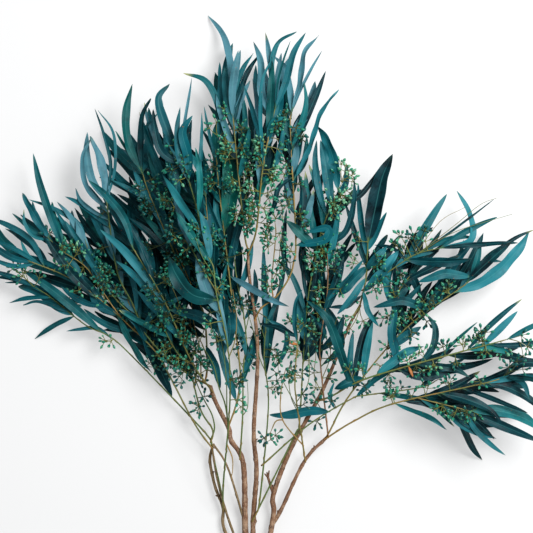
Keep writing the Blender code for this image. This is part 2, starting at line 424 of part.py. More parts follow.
        ((17.4, 37.6), (16.9, 34.6), (16.6, 29.6), 1.1),
        ((34.2, 39.2), (31, 34.8), (27, 32), (24.4, 31.1), 1.6),
        ((34.8, 39.4), (31, 37.5), (26.9, 33.6), 0.6),
        ((30.5, 35.3), (27.6, 34.9), (25, 31.7), 0.8),
        ((24.7, 34), (22.3, 31.4), (20, 28), 0.9),
        ((26.7, 37.5), (23.4, 33.8), (21.4, 29.2), 1.2),
        ((25, 36), (21.8, 34.6), (18, 32.8), 1.0),
        ((27.8, 37.6), (27.4, 35.6), (26.6, 33.2), 0.8),
        ((17.6, 37), (15.4, 33.6), (16.4, 29.2), 1.2),
    ), ((17.4, 28), (18.6, 28), (19, 26), (20, 28.9), (20.9, 27.4), (20.3, 30.2), (21.4, 30.2), (22.4, 28.6),
        (23.4, 31.6), (14.3, 24), (14.8, 21.6), (16.6, 23.6), (13, 18.9), (11.4, 20.5)),
     ((0, 5, 52, 20, 5.0, 8.0), (1, 4, 60, 24, 5.0, 8.0))),
    ("spray_right_far", (
        ((6.6, 17), (8.5, 17.8), (10.5, 18.9), (12, 19.6), (14, 20.4), (16.5, 21.2), (19.6, 22.1),
         (22.6, 22.8), (26, 23.6), (29, 24.4), (31.5, 25.2)),
    ), (
        ((36.5, 25.3), (33, 24.4), (29, 24.4), 0.7),
        ((20.8, 28.4), (22.2, 25.4), (19.9, 22.1), 0.9),
        ((27.4, 27.4), (24.6, 25), (22.4, 22.8), 0.4),
        ((20.4, 24.2), (18, 23.4), (14.2, 20.5), 1.2),
        ((33.2, 30.4), (29.4, 27.4), (26, 23.7), 0.7),
        ((32.6, 28.8), (30.6, 26.8), (28, 24.2), 0.9),
        ((36.5, 27.7), (34, 26.6), (31.2, 25.2), 0.7),
        ((26.4, 20.2), (24, 21.4), (19.4, 22), 0.9),
        ((11.2, 26), (10.8, 22.6), (10.4, 18.9), 0.9),
        ((5.1, 30.3), (7.6, 28.2), (9.2, 24.6), (10.2, 20.6), 1.2),
    ), ((22.9, 24.3), (21.8, 21.6), (24.8, 22), (25.3, 24.6), (19.5, 21.2), (27.2, 24.9), (28.7, 23.4),
        (30.7, 23.8), (31.5, 26.2), (33.2, 25.7), (34, 24.1), (10.6, 21.4), (12.4, 21.2)),
     ((0, 4, 14, 26, 5.0, 8.0),)),
)

# Leaves whose tips lie on the surface and carry the branch with its foot: spray and place in its list
RESTING_LEAVES = (
    ("spray_far_left_low", 4),
    ("spray_right_low", 9),
    ("spray_top_left", 0),
    ("spray_left_tall", 8),
    ("spray_crossing_low", 2),
)

# Leaves that arch over the others
UPPER_LEAVES = (
    ("spray_centre_right", 5),
    ("spray_top_right", 10),
    ("spray_top_middle", 4),
    ("spray_left_tall", 11),
    ("spray_centre_left", 7),
    ("spray_right_far", 9),
)


def seen_from_above(x, y, height):
    """The model point whose plan place, seen from above the middle of the branch, is x, y."""
    nearer = 1 - height / VIEW_HEIGHT
    return Vector((
        (VIEW_FOOT[0] + (x - VIEW_FOOT[0]) * nearer - PLAN_ORIGIN[0]) * CM,
        (VIEW_FOOT[1] + (y - VIEW_FOOT[1]) * nearer - PLAN_ORIGIN[1]) * CM,
        height * CM,
    ))


def smooth_route(points, steps):
    """Plan points of an even curve through the given ones."""
    route = [Vector(p) for p in points]
    ends = [route[0] * 2 - route[1]] + route + [route[-1] * 2 - route[-2]]
    curve = []
    for a, b, c, d in zip(ends, ends[1:], ends[2:], ends[3:]):
        for step in range(steps):
            t = step / steps
            curve.append(0.5 * (2 * b + (c - a) * t + (2 * a - 5 * b + 4 * c - d) * t ** 2
                                + (3 * b - a - 3 * c + d) * t ** 3))
    curve.append(route[-1])
    return curve


def travelled(points):
    """The share of the whole way at each point, and the whole way."""
    way = [0.0]
    for a, b in zip(points, points[1:]):
        way.append(way[-1] + (b - a).length)
    return [w / way[-1] for w in way], way[-1]


def at_share(points, shares, share):
    """The plan point at a share of the way along a curve."""
    for a, b, low, high in zip(points, points[1:], shares, shares[1:]):
        if share <= high:
            return a.lerp(b, (share - low) / (high - low))
    return points[-1]


def tube(points, radii, sides):
    """A closed tube's vertices and faces."""
    verts = []
    faces = []
    for i, (point, radius) in enumerate(zip(points, radii)):
        along = (points[min(i + 1, len(points) - 1)] - points[max(i - 1, 0)]).normalized()
        side = along.cross(Vector((0, 0, 1))).normalized()
        up = along.cross(side)
        for k in range(sides):
            turn = 2 * math.pi * (k + 0.5) / sides
            verts.append(point + side * radius * math.cos(turn) + up * radius * math.sin(turn))
    for i in range(len(points) - 1):
        for k in range(sides):
            a = i * sides + k
            b = i * sides + (k + 1) % sides
            faces.append((a, b, b + sides, a + sides))
    faces.append(tuple(range(sides - 1, -1, -1)))
    faces.append(tuple(range(len(verts) - sides, len(verts))))
    return verts, faces


def blade(root, points, widths, rolls, extra=0.0):
    """A thin closed blade from a pointed root, both faces split into triangles alike."""
    outward = (points[0] - root).normalized()
    neck = root + outward * ROOT_REACH
    route = [neck] + points
    wide = [ROOT_WIDTH] + widths
    thick = [ROOT_THICKNESS] + [BLADE_THICKNESS] * len(points)
    turns = [0.0] + rolls
    verts = [root - outward * ROOT_SINK]
    for i, point in enumerate(route):
        along = (route[min(i + 1, len(route) - 1)] - route[max(i - 1, 0)]).normalized()
        side = Matrix.Rotation(turns[i], 3, along) @ along.cross(Vector((0, 0, 1))).normalized()
        up = along.cross(side)
        for across, over in ((-1, -1), (1, -1), (1, 1), (-1, 1)):
            verts.append(point + side * across * (wide[i] / 2 + extra) + up * over * (thick[i] / 2 + extra))
    faces = [(0, 2, 1), (0, 3, 2), (0, 4, 3), (0, 1, 4)]
    for i in range(1, len(verts) - 4, 4):
        faces += [(i, i + 1, i + 5), (i, i + 5, i + 4), (i + 3, i + 7, i + 6), (i + 3, i + 6, i + 2)]
        faces += [(i + 1, i + 2, i + 6), (i + 1, i + 6, i + 5), (i, i + 4, i + 7), (i, i + 7, i + 3)]
    last = len(verts) - 4
    faces += [(last, last + 1, last + 2), (last, last + 2, last + 3)]
    return verts, faces


def seed_head(start, end):
    """A closed stalk that ends in four pointed buds: one ahead and three round it."""
    along = (end - start).normalized()
    side = along.orthogonal().normalized()
    verts = []
    for place in (start - along * ROOT_SINK, end - along * HUB_LENGTH, end):
        for k in range(3):
            verts.append(place + Matrix.Rotation(2 * math.pi * k / 3, 3, along) @ side * STALK_RADIUS)
    faces = [(2, 1, 0)] + [(k, (k + 1) % 3, 3 + (k + 1) % 3, 3 + k) for k in range(3)]
    hub = end - along * HUB_LENGTH / 2
    sockets = [((6, 7, 8), along, end)]
    for k in range(3):
        after = (k + 1) % 3
        outward = Matrix.Rotation(2 * math.pi * (k + 0.5) / 3, 3, along) @ side
        sockets.append(((3 + k, 3 + after, 6 + after, 6 + k), (outward + along * BUD_LEAN).normalized(), hub))
    for socket, outward, root in sockets:
        centre = root + outward * BUD_LENGTH * BUD_FULLEST
        first = len(verts)
        for corner in socket:
            across = verts[corner] - root
            across -= outward * across.dot(outward)
            verts.append(centre + across.normalized() * BUD_RADIUS)
        verts.append(root + outward * BUD_LENGTH)
        count = len(socket)
        for k in range(count):
            after = (k + 1) % count
            faces.append((socket[k], socket[after], first + after, first + k))
            faces.append((first + k, first + after, first + count))
    return verts, faces


class Solid:
    """One closed shape that stands in the branch, with the box round it."""

    def __init__(self, node, verts, faces, is_leaf=False):
        self.node = node
        self.is_leaf = is_leaf
        self.verts = verts
        self.faces = faces
        self.low = [min(v[i] for v in verts) for i in range(3)]
        self.high = [max(v[i] for v in verts) for i in range(3)]
        self.tree = BVHTree.FromPolygons(verts, faces)

    def crosses(self, other):
        for i in range(3):
            if self.low[i] > other.high[i] or other.low[i] > self.high[i]:
                return False
        return bool(self.tree.overlap(other.tree))


class Way:
    """A stem's route: plan points with their heights and radii in centimetres."""

    def __init__(self, node, points, heights, radii):
        self.node = node
        self.points = points
        self.heights = heights
        self.radii = radii

    def nearest(self, x, y):
        """Distance, place, height and radius of the nearest point of the way."""
        best = None
        target = Vector((x, y))
        for i in range(len(self.points) - 1):
            a = self.points[i]
            b = self.points[i + 1]
            t = max(0.0, min(1.0, (target - a).dot(b - a) / (b - a).length_squared))
            place = a.lerp(b, t)
            gap = (target - place).length
            if best is None or gap < best[0]:
                height = self.heights[i] + (self.heights[i + 1] - self.heights[i]) * t
                radius = self.radii[i] + (self.radii[i + 1] - self.radii[i]) * t
                best = (gap, place, height, radius)
        return best

    def solid(self, sides, extra=0.0):
        points = [seen_from_above(p.x, p.y, h) for p, h in zip(self.points, self.heights)]
        return Solid(self.node, *tube(points, [r * CM + extra for r in self.radii], sides))


def straightened(points):
    """The route without the points that lie almost on the line past them."""
    kept = [points[0]]
    for point, after in zip(points[1:], points[2:]):
        line = (after - kept[-1]).normalized()
        if abs((point - kept[-1]).cross(line)) > STRAIGHT_WITHIN:
            kept.append(point)
    return kept + [points[-1]]


def way_along(node, plan, low, high, bulge, diameters):
    """A way whose height goes evenly from low to high, with a rise in its middle."""
    points = straightened([Vector(p) for p in plan])
    shares, _ = travelled(points)
    heights = [low + (high - low) * s + bulge * 4 * s * (1 - s) for s in shares]
    radii = [(diameters[0] + (diameters[1] - diameters[0]) * s) / 2 for s in shares]
    heights = [max(h, r + STEM_OVER_SURFACE) for h, r in zip(heights, radii)]
    return Way(node, points, heights, radii)


ways = []
placed = []


def is_clear(solid, others):
    return not any(solid.crosses(other) for other in others)


def grow_limbs():
    """The woody foot and the limbs that part from it, as one node's shapes."""
    solids = []
    foot = way_along("woody_stems", FOOT_ROUTE, 0, 0, 0, FOOT_DIAMETERS)
    foot.heights = [r * math.cos(math.pi / FOOT_SIDES) for r in foot.radii]
    ways.append(foot)
    solids.append(foot.solid(FOOT_SIDES))
    for start, end, high, plan in LIMBS:
        _, place, low, _ = min((way.nearest(*plan[0]) for way in ways), key=lambda found: found[0])
        limb = way_along("woody_stems", (place, *plan[1:]), low, high, 0, (start, end))
        ways.append(limb)
        solids.append(limb.solid(LIMB_SIDES))
    placed.extend(solids)
    return solids


def grow_twig(node, plan, diameters):
    """A twig seated on the stem it leaves, or sunk into one of its own spray."""
    others = [solid for solid in placed if solid.node != node]
    for slide in SEAT_SLIDES:
        seat = (plan[0][0], plan[0][1] + slide)
        joint, parent = min(((way.nearest(*seat), way) for way in ways), key=lambda pair: pair[0][0])
        _, place, low, radius = joint
        if parent.node != node:
            low += (radius + diameters[0] / 2) * math.cos(math.pi / LIMB_SIDES) + SEAT_GAP / CM
        route = [place] + [Vector(p) for p in plan[1:]]
        _, length = travelled(route)
        for bulge in TWIG_BULGES:
            for rise in TWIG_RISES:
                high = min(low + length * rise, TWIG_HIGHEST)
                way = way_along(node, route, low, high, bulge, diameters)
                if is_clear(way.solid(TWIG_SIDES, CLEARANCE), others):
                    ways.append(way)
                    return way.solid(TWIG_SIDES)
    return None


def grow_leaf(node, own_ways, plan, width, draw, resting=False, arch=LEAF_ARCH):
    """A leaf sunk into the nearest twig of its spray, at a height where it is clear."""
    base = plan[-1]
    joint = min((way.nearest(*base) for way in own_ways), key=lambda found: found[0])
    _, place, root, _ = joint
    points = [place] + [Vector(p) for p in reversed(plan[:-1])]
    curve = smooth_route(points, CURVE_STEPS)
    shares, length = travelled(curve)
    profile = BLADE
    if length > LONG_BLADE_LENGTH:
        profile = LONG_BLADE
    if length < SHORT_BLADE_LENGTH or len(plan) < 3:
        profile = SHORT_BLADE
    spots = [at_share(curve, shares, share) for share, _ in profile]
    widths = [max(part * width * CM, TIP_WIDTH) for _, part in profile]
    others = [solid for solid in placed if solid.node != node]
    fellows = [solid for solid in placed if solid.node == node and solid.is_leaf]
    start = seen_from_above(place.x, place.y, root)
    best = None
    for attempt in range(LEAF_TRIES):
        tilt = math.radians(LEAF_TILTS[0] + LEAF_TILTS[1] * attempt / LEAF_TRIES)
        middle = root + length / 2 * math.tan(draw.uniform(-tilt, tilt) + arch[0])
        end = root + length * math.tan(draw.uniform(-tilt, tilt) + arch[1])
        roll = draw.uniform(-LEAF_ROLL, LEAF_ROLL)
        twist = draw.uniform(-LEAF_TWIST, LEAF_TWIST)
        middle = min(max(middle, LEAF_LOWEST[0]), HIGHEST)
        end = min(max(end, LEAF_LOWEST[1]), HIGHEST)
        if resting:
            end = 0
            middle = root * 0.5
        stations = []
        rolls = []
        for (share, _), spot, wide in zip(profile, spots, widths):
            height = root * (1 - share) ** 2 + middle * 2 * share * (1 - share) + end * share ** 2
            turn = roll + twist * (share - 0.5)
            least = (abs(math.sin(turn)) * wide + BLADE_THICKNESS) / 2 / CM + LEAF_OVER_SURFACE
            stations.append(seen_from_above(spot.x, spot.y, max(height, least)))
            rolls.append(turn)
        trial = Solid(node, *blade(start, stations, widths, rolls, CLEARANCE))
        if not is_clear(trial, others):
            continue
        leaf = Solid(node, *blade(start, stations, widths, rolls), is_leaf=True)
        met = sum(leaf.crosses(fellow) for fellow in fellows)
        if best is None or met < best[0]:
            best = (met, leaf)
        if met == 0 or attempt > LEAF_TRIES / 2 and met == 1:
            break
    return best[1] if best else None


def ruled_leaves(way, count, heading, spread, shortest, longest, draw):
    """Plans of leaves set alternately along the upper part of a twig."""
    shares, _ = travelled(way.points)
    plans = []
    for k in range(count):
        share = ROW_START + ROW_SHARE * (k + draw.uniform(-ROW_PLAY, ROW_PLAY)) / max(count - 1, 1)
        base = at_share(way.points, shares, max(ROW_ENDS[0], min(share, ROW_ENDS[1])))
        side = 1 if k % 2 else -1
        turn = math.radians(heading + side * draw.uniform(ROW_LEAST_SPREAD, 1) * spread)
        length = draw.uniform(shortest, longest)
        sweep = math.radians(draw.uniform(-ROW_SWEEP, ROW_SWEEP))
        middle = base + 0.5 * length * Vector((math.cos(turn + sweep), math.sin(turn + sweep)))
        tip = base + length * Vector((math.cos(turn), math.sin(turn)))
        plans.append((tuple(tip), tuple(middle), tuple(base), draw.uniform(*ROW_WIDTHS)))
    return plans


def grow_seed_head(node, own_ways, centre, draw):
    """A stalk with buds at its end, clear of all other sprays."""
    joint = min((way.nearest(*centre) for way in own_ways), key=lambda found: found[0])
    _, place, root, _ = joint
    others = [solid for solid in placed if solid.node != node]
    start = seen_from_above(place.x, place.y, root)
    for attempt in range(LEAF_TRIES):
        height = root + draw.uniform(*HEAD_HEIGHTS) * (1 + attempt * HEAD_WIDENING)
        end = seen_from_above(*centre, min(max(height, HEAD_LOWEST), HIGHEST))
        if (end - start).length < SHORTEST_STALK:
            end = start + (end - start).normalized() * SHORTEST_STALK
        head = Solid(node, *seed_head(start, end))
        if head.low[2] > BUD_OVER_SURFACE and is_clear(head, others):
            return head
    return None


def grow_twigs(name, plans):
    """The twigs of one spray, with their ways."""
    solids = []
    own_ways = []
    for k, plan in enumerate(plans):
        twig = grow_twig(name, plan, SIDE_TWIG_DIAMETERS if k else TWIG_DIAMETERS)
        if twig:
            own_ways.append(ways[-1])
            solids.append(twig)
            placed.append(twig)
    return own_ways, solids


def grow_leaves(name, own_ways, leaves, solids):
    """The leaves of one spray whose places are given."""
    for number, leaf_plan in enumerate(leaves):
        draw = random.Random(f"{name} leaf {number}")
        resting = (name, number) in RESTING_LEAVES
        arch = UPPER_ARCH if (name, number) in UPPER_LEAVES else LEAF_ARCH
        leaf = grow_leaf(name, own_ways, leaf_plan[:-1], leaf_plan[-1], draw, resting, arch)
        if leaf:
            solids.append(leaf)
            placed.append(leaf)


def grow_ruled_leaves(name, own_ways, ruled, solids):
    """The leaves of one spray that follow a rule."""
    for row, (twig_number, count, *rule) in enumerate(ruled):
        way = own_ways[twig_number]
        plans = ruled_leaves(way, count, *rule, random.Random(f"{name} row {row}"))
        for number in range(0, count, RULED_BUILT_EVERY):
            draw = random.Random(f"{name} row {row} leaf {number}")
            leaf = grow_leaf(name, own_ways, plans[number][:-1], plans[number][-1], draw)
            if leaf:
                solids.append(leaf)
                placed.append(leaf)


def material(name, colour, roughness):
    finish = bpy.data.materials.new(name)
    finish.use_nodes = True
    shader = finish.node_tree.nodes["Principled BSDF"]
    shader.inputs["Base Color"].default_value = (*colour, 1)
    shader.inputs["Roughness"].default_value = roughness
    shader.inputs["Metallic"].default_value = 0
    return finish


def plain_object(name, solid):
    mesh = bpy.data.meshes.new(name)
    mesh.from_pydata([tuple(v) for v in solid.verts], [], solid.faces)
    mesh.update()
    return bpy.data.objects.new(name, mesh)


def keep_outer_shell(mesh):
    """Fills the small hollows that joining sealed and drops loose scraps."""
    shell = bmesh.new()
    shell.from_mesh(mesh)
    waiting = set(shell.verts)
    islands = []
    while waiting:
        island = set()
        edge = [waiting.pop()]
        while edge:
            vert = edge.pop()
            island.add(vert)
            for link in vert.link_edges:
                other = link.other_vert(vert)
                if other in waiting:
                    waiting.discard(other)
                    edge.append(other)
        islands.append(island)
    islands.sort(key=len)
    for island in islands[:-1]:
        bmesh.ops.delete(shell, geom=list(island), context="VERTS")
    shell.to_mesh(mesh)
    shell.free()


def joined_node(name, solids, finish):
    """All shapes of one node, joined into one closed body."""
    body = plain_object(name, solids[0])
    bpy.context.scene.collection.objects.link(body)
    body.data.materials.append(finish)
    rest = bpy.data.collections.new(name + "_shapes")
    bpy.context.scene.collection.children.link(rest)
    for k, solid in enumerate(solids[1:]):
        rest.objects.link(plain_object(f"{name}_shape_{k}", solid))
    union = body.modifiers.new("union", "BOOLEAN")
    union.operation = "UNION"
    union.operand_type = "COLLECTION"
    union.collection = rest
    union.solver = "MANIFOLD"
    bpy.context.view_layer.objects.active = body
    body.select_set(True)
    bpy.ops.object.modifier_apply(modifier="union")
    body.select_set(False)
    for shape in list(rest.objects):
        bpy.data.objects.remove(shape, do_unlink=True)
    bpy.data.collections.remove(rest)
    keep_outer_shell(body.data)


def build():
    bark = material("bark", (0.33, 0.18, 0.12), 0.75)
    foliage = material("foliage", (0.012, 0.09, 0.11), 0.5)
    limbs = grow_limbs()
    started = [(spray, *grow_twigs(spray[0], spray[1])) for spray in SPRAYS]
    for (name, _, leaves, _, _), own_ways, solids in started:
        grow_leaves(name, own_ways, leaves, solids)
    for (name, _, _, seed_heads, ruled), own_ways, solids in started:
        grow_ruled_leaves(name, own_ways, ruled, solids)
        for number in range(0, len(seed_heads), HEADS_BUILT_EVERY):
            draw = random.Random(f"{name} head {number}")
            head = grow_seed_head(name, own_ways, seed_heads[number], draw)
            if head:
                solids.append(head)
                placed.append(head)
    joined_node("woody_stems", limbs, bark)
    for (name, *_), _, solids in started:
        joined_node(name, solids, foliage)


build()
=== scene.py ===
import math
import random

import bpy
import numpy as np
from mathutils import Matrix, Vector
from mathutils.bvhtree import BVHTree


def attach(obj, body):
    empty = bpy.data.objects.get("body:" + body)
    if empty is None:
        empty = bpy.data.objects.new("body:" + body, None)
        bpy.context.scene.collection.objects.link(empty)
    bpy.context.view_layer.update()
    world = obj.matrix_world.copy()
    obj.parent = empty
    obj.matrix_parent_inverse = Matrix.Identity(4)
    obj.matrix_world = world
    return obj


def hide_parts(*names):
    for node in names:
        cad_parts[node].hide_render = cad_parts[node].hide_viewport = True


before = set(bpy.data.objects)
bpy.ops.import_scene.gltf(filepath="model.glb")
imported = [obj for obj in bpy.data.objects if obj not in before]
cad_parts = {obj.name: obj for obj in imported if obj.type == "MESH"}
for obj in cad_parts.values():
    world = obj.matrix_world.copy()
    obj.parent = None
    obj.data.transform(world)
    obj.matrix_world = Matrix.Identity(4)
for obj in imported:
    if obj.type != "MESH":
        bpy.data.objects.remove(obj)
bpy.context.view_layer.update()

# Woody stems. The limbs of a cut branch, grown from one short foot and forking as they go.
# Smooth pinkish brown bark with darker rings where leaves once sat. Routes are plan positions
# in centimetres, read from above, and the heights follow the same rules as the solids.
CM = 0.01
SEAT_GAP = 0.0004
CLEARANCE = 0.0003
ROOT_SINK = 0.0006
PLAN_ORIGIN = (0.0, 27.7)
VIEW_FOOT = (0.0, 34.6)
VIEW_HEIGHT = 193.0
HIGHEST = 10.5
STEM_OVER_SURFACE = 0.02
FOOT_SIDES = 8
LIMB_SIDES = 6
CURVE_STEPS = 8
STRAIGHT_WITHIN = 0.16
BARK_SIDES = 14
BARK_STEP = 0.003
RING_EVERY = 0.026
LAST_RING = 0.004
RING_SWELL = 0.0022
SCAR_AFTER = 0.0014
SCAR_LENGTH = 0.0011
PRONG_CHANCE = 0.35
PRONG_RADII = (0.0011, 0.0009, 0.0004)
ANY_TURN = (0, 6.28)
OVER_FLOOR = 0.0001
TWIG_OVER_FLOOR = 0.0002
# How olive the bark of each young limb is
LIMB_OLIVE = {5: 0.45, 6: 0.6, 7: 0.5}

FOOT_DIAMETERS = (1.3, 1.15)
FOOT_ROUTE = ((-0.9, -12), (-1.0, -9.4), (-0.95, -6.6))
LIMBS = (
    (0.92, 0.50, 2.4, (
        (-1.1, -7.6), (-2.2, -3.5), (-2.75, 0), (-2.8, 5), (-3, 8.9), (-3.9, 10.3), (-4.6, 12),
        (-4.9, 13.6), (-5.6, 15.2), (-6.6, 17), (-7.3, 19.1))),
    (0.74, 0.34, 4.6, (
        (-0.95, -7.6), (-1.5, -3), (-1.75, 0), (-1.6, 2.5), (-1.55, 5), (-1.3, 8), (-1.4, 10),
        (-1.65, 13.2), (-1.4, 16), (-1.4, 20), (-1.15, 24), (-1.6, 27.5), (-1.8, 30.8), (-2.25, 33.5),
        (-2.4, 37))),
    (0.78, 0.34, 3.6, (
        (-0.8, -7.6), (-0.1, -3), (0.57, 0), (0.87, 2), (0.9, 5), (1.4, 6.8), (2, 8), (3.2, 11),
        (4.7, 13.5), (5.4, 15), (6.4, 16.8), (7.4, 18.8), (8.4, 21.2), (9.4, 23.8), (10.5, 26.4),
        (12.2, 29.6))),
    (0.52, 0.40, 2.2, (
        (0.75, 1.0), (1.8, 2.8), (2.8, 5.2), (3.8, 7.3), (4.95, 9.35), (6, 10.6), (7.2, 11.7),
        (8.05, 12.65))),
    (0.46, 0.36, 1.0, (
        (-1.3, -7.6), (-3.6, -3), (-5.3, 0), (-5.65, 3.3), (-6.66, 6), (-7.34, 9.35), (-7, 11.3))),
    (0.36, 0.28, 1.7, (
        (-1.2, -7.4), (-2.9, -3), (-4.3, 0), (-5.4, 3.1), (-6.15, 6), (-6.75, 9), (-7.1, 11.2))),
    (0.30, 0.24, 2.2, (
        (-2.8, 1.2), (-3.3, 2.7), (-4, 4.9), (-4.5, 6.7), (-5, 8.4), (-6.4, 10.7), (-6.9, 11.6))),
    (0.40, 0.34, 1.5, ((0.9, 5.0), (0.55, 6.2), (0.2, 7.2))),
)


def seen_from_above(x, y, height):
    """The model point whose plan place, seen from above the middle of the branch, is x, y."""
    nearer = 1 - height / VIEW_HEIGHT
    return Vector((
        (VIEW_FOOT[0] + (x - VIEW_FOOT[0]) * nearer - PLAN_ORIGIN[0]) * CM,
        (VIEW_FOOT[1] + (y - VIEW_FOOT[1]) * nearer - PLAN_ORIGIN[1]) * CM,
        height * CM,
    ))


def smooth_route(points, steps):
    """Plan points of an even curve through the given ones."""
    route = [Vector(p) for p in points]
    ends = [route[0] * 2 - route[1]] + route + [route[-1] * 2 - route[-2]]
    curve = []
    for a, b, c, d in zip(ends, ends[1:], ends[2:], ends[3:]):
        for step in range(steps):
            t = step / steps
            curve.append(0.5 * (2 * b + (c - a) * t + (2 * a - 5 * b + 4 * c - d) * t ** 2
                                + (3 * b - a - 3 * c + d) * t ** 3))
    curve.append(route[-1])
    return curve


def travelled(points):
    """The share of the whole way at each point, and the whole way."""
    way = [0.0]
    for a, b in zip(points, points[1:]):
        way.append(way[-1] + (b - a).length)
    return [w / way[-1] for w in way], way[-1]


def at_share(points, shares, share):
    """The plan point at a share of the way along a curve."""
    for a, b, low, high in zip(points, points[1:], shares, shares[1:]):
        if share <= high:
            return a.lerp(b, (share - low) / (high - low))
    return points[-1]


def tube(points, radii, sides):
    """A closed tube's vertices and faces."""
    verts = []
    faces = []
    for i, (point, radius) in enumerate(zip(points, radii)):
        along = (points[min(i + 1, len(points) - 1)] - points[max(i - 1, 0)]).normalized()
        side = along.cross(Vector((0, 0, 1))).normalized()
        up = along.cross(side)
        for k in range(sides):
            turn = 2 * math.pi * (k + 0.5) / sides
            verts.append(point + side * radius * math.cos(turn) + up * radius * math.sin(turn))
    for i in range(len(points) - 1):
        for k in range(sides):
            a = i * sides + k
            b = i * sides + (k + 1) % sides
            faces.append((a, b, b + sides, a + sides))
    faces.append(tuple(range(sides - 1, -1, -1)))
    faces.append(tuple(range(len(verts) - sides, len(verts))))
    return verts, faces


class Solid:
    """One closed shape that stands in the branch, with the box round it."""

    def __init__(self, node, verts, faces, is_leaf=False):
        self.node = node
        self.is_leaf = is_leaf
        self.route = None
        self.head = None
        self.low = [min(v[i] for v in verts) for i in range(3)]
        self.high = [max(v[i] for v in verts) for i in range(3)]
        self.tree = BVHTree.FromPolygons(verts, faces)

    def crosses(self, other):
        for i in range(3):
            if self.low[i] > other.high[i] or other.low[i] > self.high[i]:
                return False
        return bool(self.tree.overlap(other.tree))


class Way:
    """A stem's route: plan points with their heights and radii in centimetres."""

    def __init__(self, node, points, heights, radii):
        self.node = node
        self.points = points
        self.heights = heights
        self.radii = radii

    def nearest(self, x, y):
        """Distance, place, height and radius of the nearest point of the way."""
        best = None
        target = Vector((x, y))
        for i in range(len(self.points) - 1):
            a = self.points[i]
            b = self.points[i + 1]
            t = max(0.0, min(1.0, (target - a).dot(b - a) / (b - a).length_squared))
            place = a.lerp(b, t)
            gap = (target - place).length
            if best is None or gap < best[0]:
                height = self.heights[i] + (self.heights[i + 1] - self.heights[i]) * t
                radius = self.radii[i] + (self.radii[i + 1] - self.radii[i]) * t
                best = (gap, place, height, radius)
        return best

    def solid(self, sides, extra=0.0):
        points = [seen_from_above(p.x, p.y, h) for p, h in zip(self.points, self.heights)]
        return Solid(self.node, *tube(points, [r * CM + extra for r in self.radii], sides))


def closest_joint(among, spot):
    """Distance, place, height and radius of the point of these ways that is nearest to a spot."""
    return min((way.nearest(*spot) for way in among), key=lambda found: found[0])


def straightened(points):
    """The route without the points that lie almost on the line past them."""
    kept = [points[0]]
    for point, after in zip(points[1:], points[2:]):
        line = (after - kept[-1]).normalized()
        if abs((point - kept[-1]).cross(line)) > STRAIGHT_WITHIN:
            kept.append(point)
    return kept + [points[-1]]


def way_along(node, plan, low, high, bulge, diameters):
    """A way whose height goes evenly from low to high, with a rise in its middle."""
    points = straightened([Vector(p) for p in plan])
    shares, _ = travelled(points)
    heights = [low + (high - low) * s + bulge * 4 * s * (1 - s) for s in shares]
    radii = [(diameters[0] + (diameters[1] - diameters[0]) * s) / 2 for s in shares]
    heights = [max(h, r + STEM_OVER_SURFACE) for h, r in zip(heights, radii)]
    return Way(node, points, heights, radii)


ways = []
placed = []


def is_clear(solid, others):
    return not any(solid.crosses(other) for other in others)


def keep(shape):
    """Sets a shape in the branch, if there was room for one."""
    if shape:
        placed.append(shape)


def grow_limbs():
    """The woody foot and the limbs that part from it, as one node's shapes."""
    solids = []
    foot = way_along("woody_stems", FOOT_ROUTE, 0, 0, 0, FOOT_DIAMETERS)
    foot.heights = [r * math.cos(math.pi / FOOT_SIDES) for r in foot.radii]
    ways.append(foot)
    solids.append(foot.solid(FOOT_SIDES))
    for start, end, high, plan in LIMBS:
        _, place, low, _ = closest_joint(ways, plan[0])
        limb = way_along("woody_stems", (place, *plan[1:]), low, high, 0, (start, end))
        ways.append(limb)
        solids.append(limb.solid(LIMB_SIDES))
    placed.extend(solids)


def even_steps(points, step):
    """A smooth curve through the points, read off at even steps, and its length."""
    curve = smooth_route(points, CURVE_STEPS)
    shares, length = travelled(curve)
    count = max(int(length / step), 4)
    return [at_share(curve, shares, k / count) for k in range(count + 1)], length


def round_stem(points, radii, sides):
    """Rings of vertices along a stem, the faces between them and both ends closed."""
    centres = np.array([tuple(p) for p in points])
    along = np.gradient(centres, axis=0)
    along /= np.linalg.norm(along, axis=1, keepdims=True)
    side = np.cross(along, (0, 0, 1))
    side /= np.linalg.norm(side, axis=1, keepdims=True)
    up = np.cross(side, along)
    turn = 2 * math.pi * np.arange(sides) / sides
    ring = side[:, None] * np.cos(turn)[None, :, None] + up[:, None] * np.sin(turn)[None, :, None]
    radii = np.array(radii)
    radii = radii[:, None, None] if radii.ndim == 1 else radii[:, :, None]
    verts = centres[:, None] + ring * radii
    rows = len(points)
    faces = []
    for i in range(rows - 1):
        for k in range(sides):
            a = i * sides + k
            b = i * sides + (k + 1) % sides
            faces.append((a, a + sides, b + sides, b))
    faces.append(tuple(range(sides)))
    faces.append(tuple(range(rows * sides - 1, (rows - 1) * sides - 1, -1)))
    return verts.reshape(-1, 3), faces


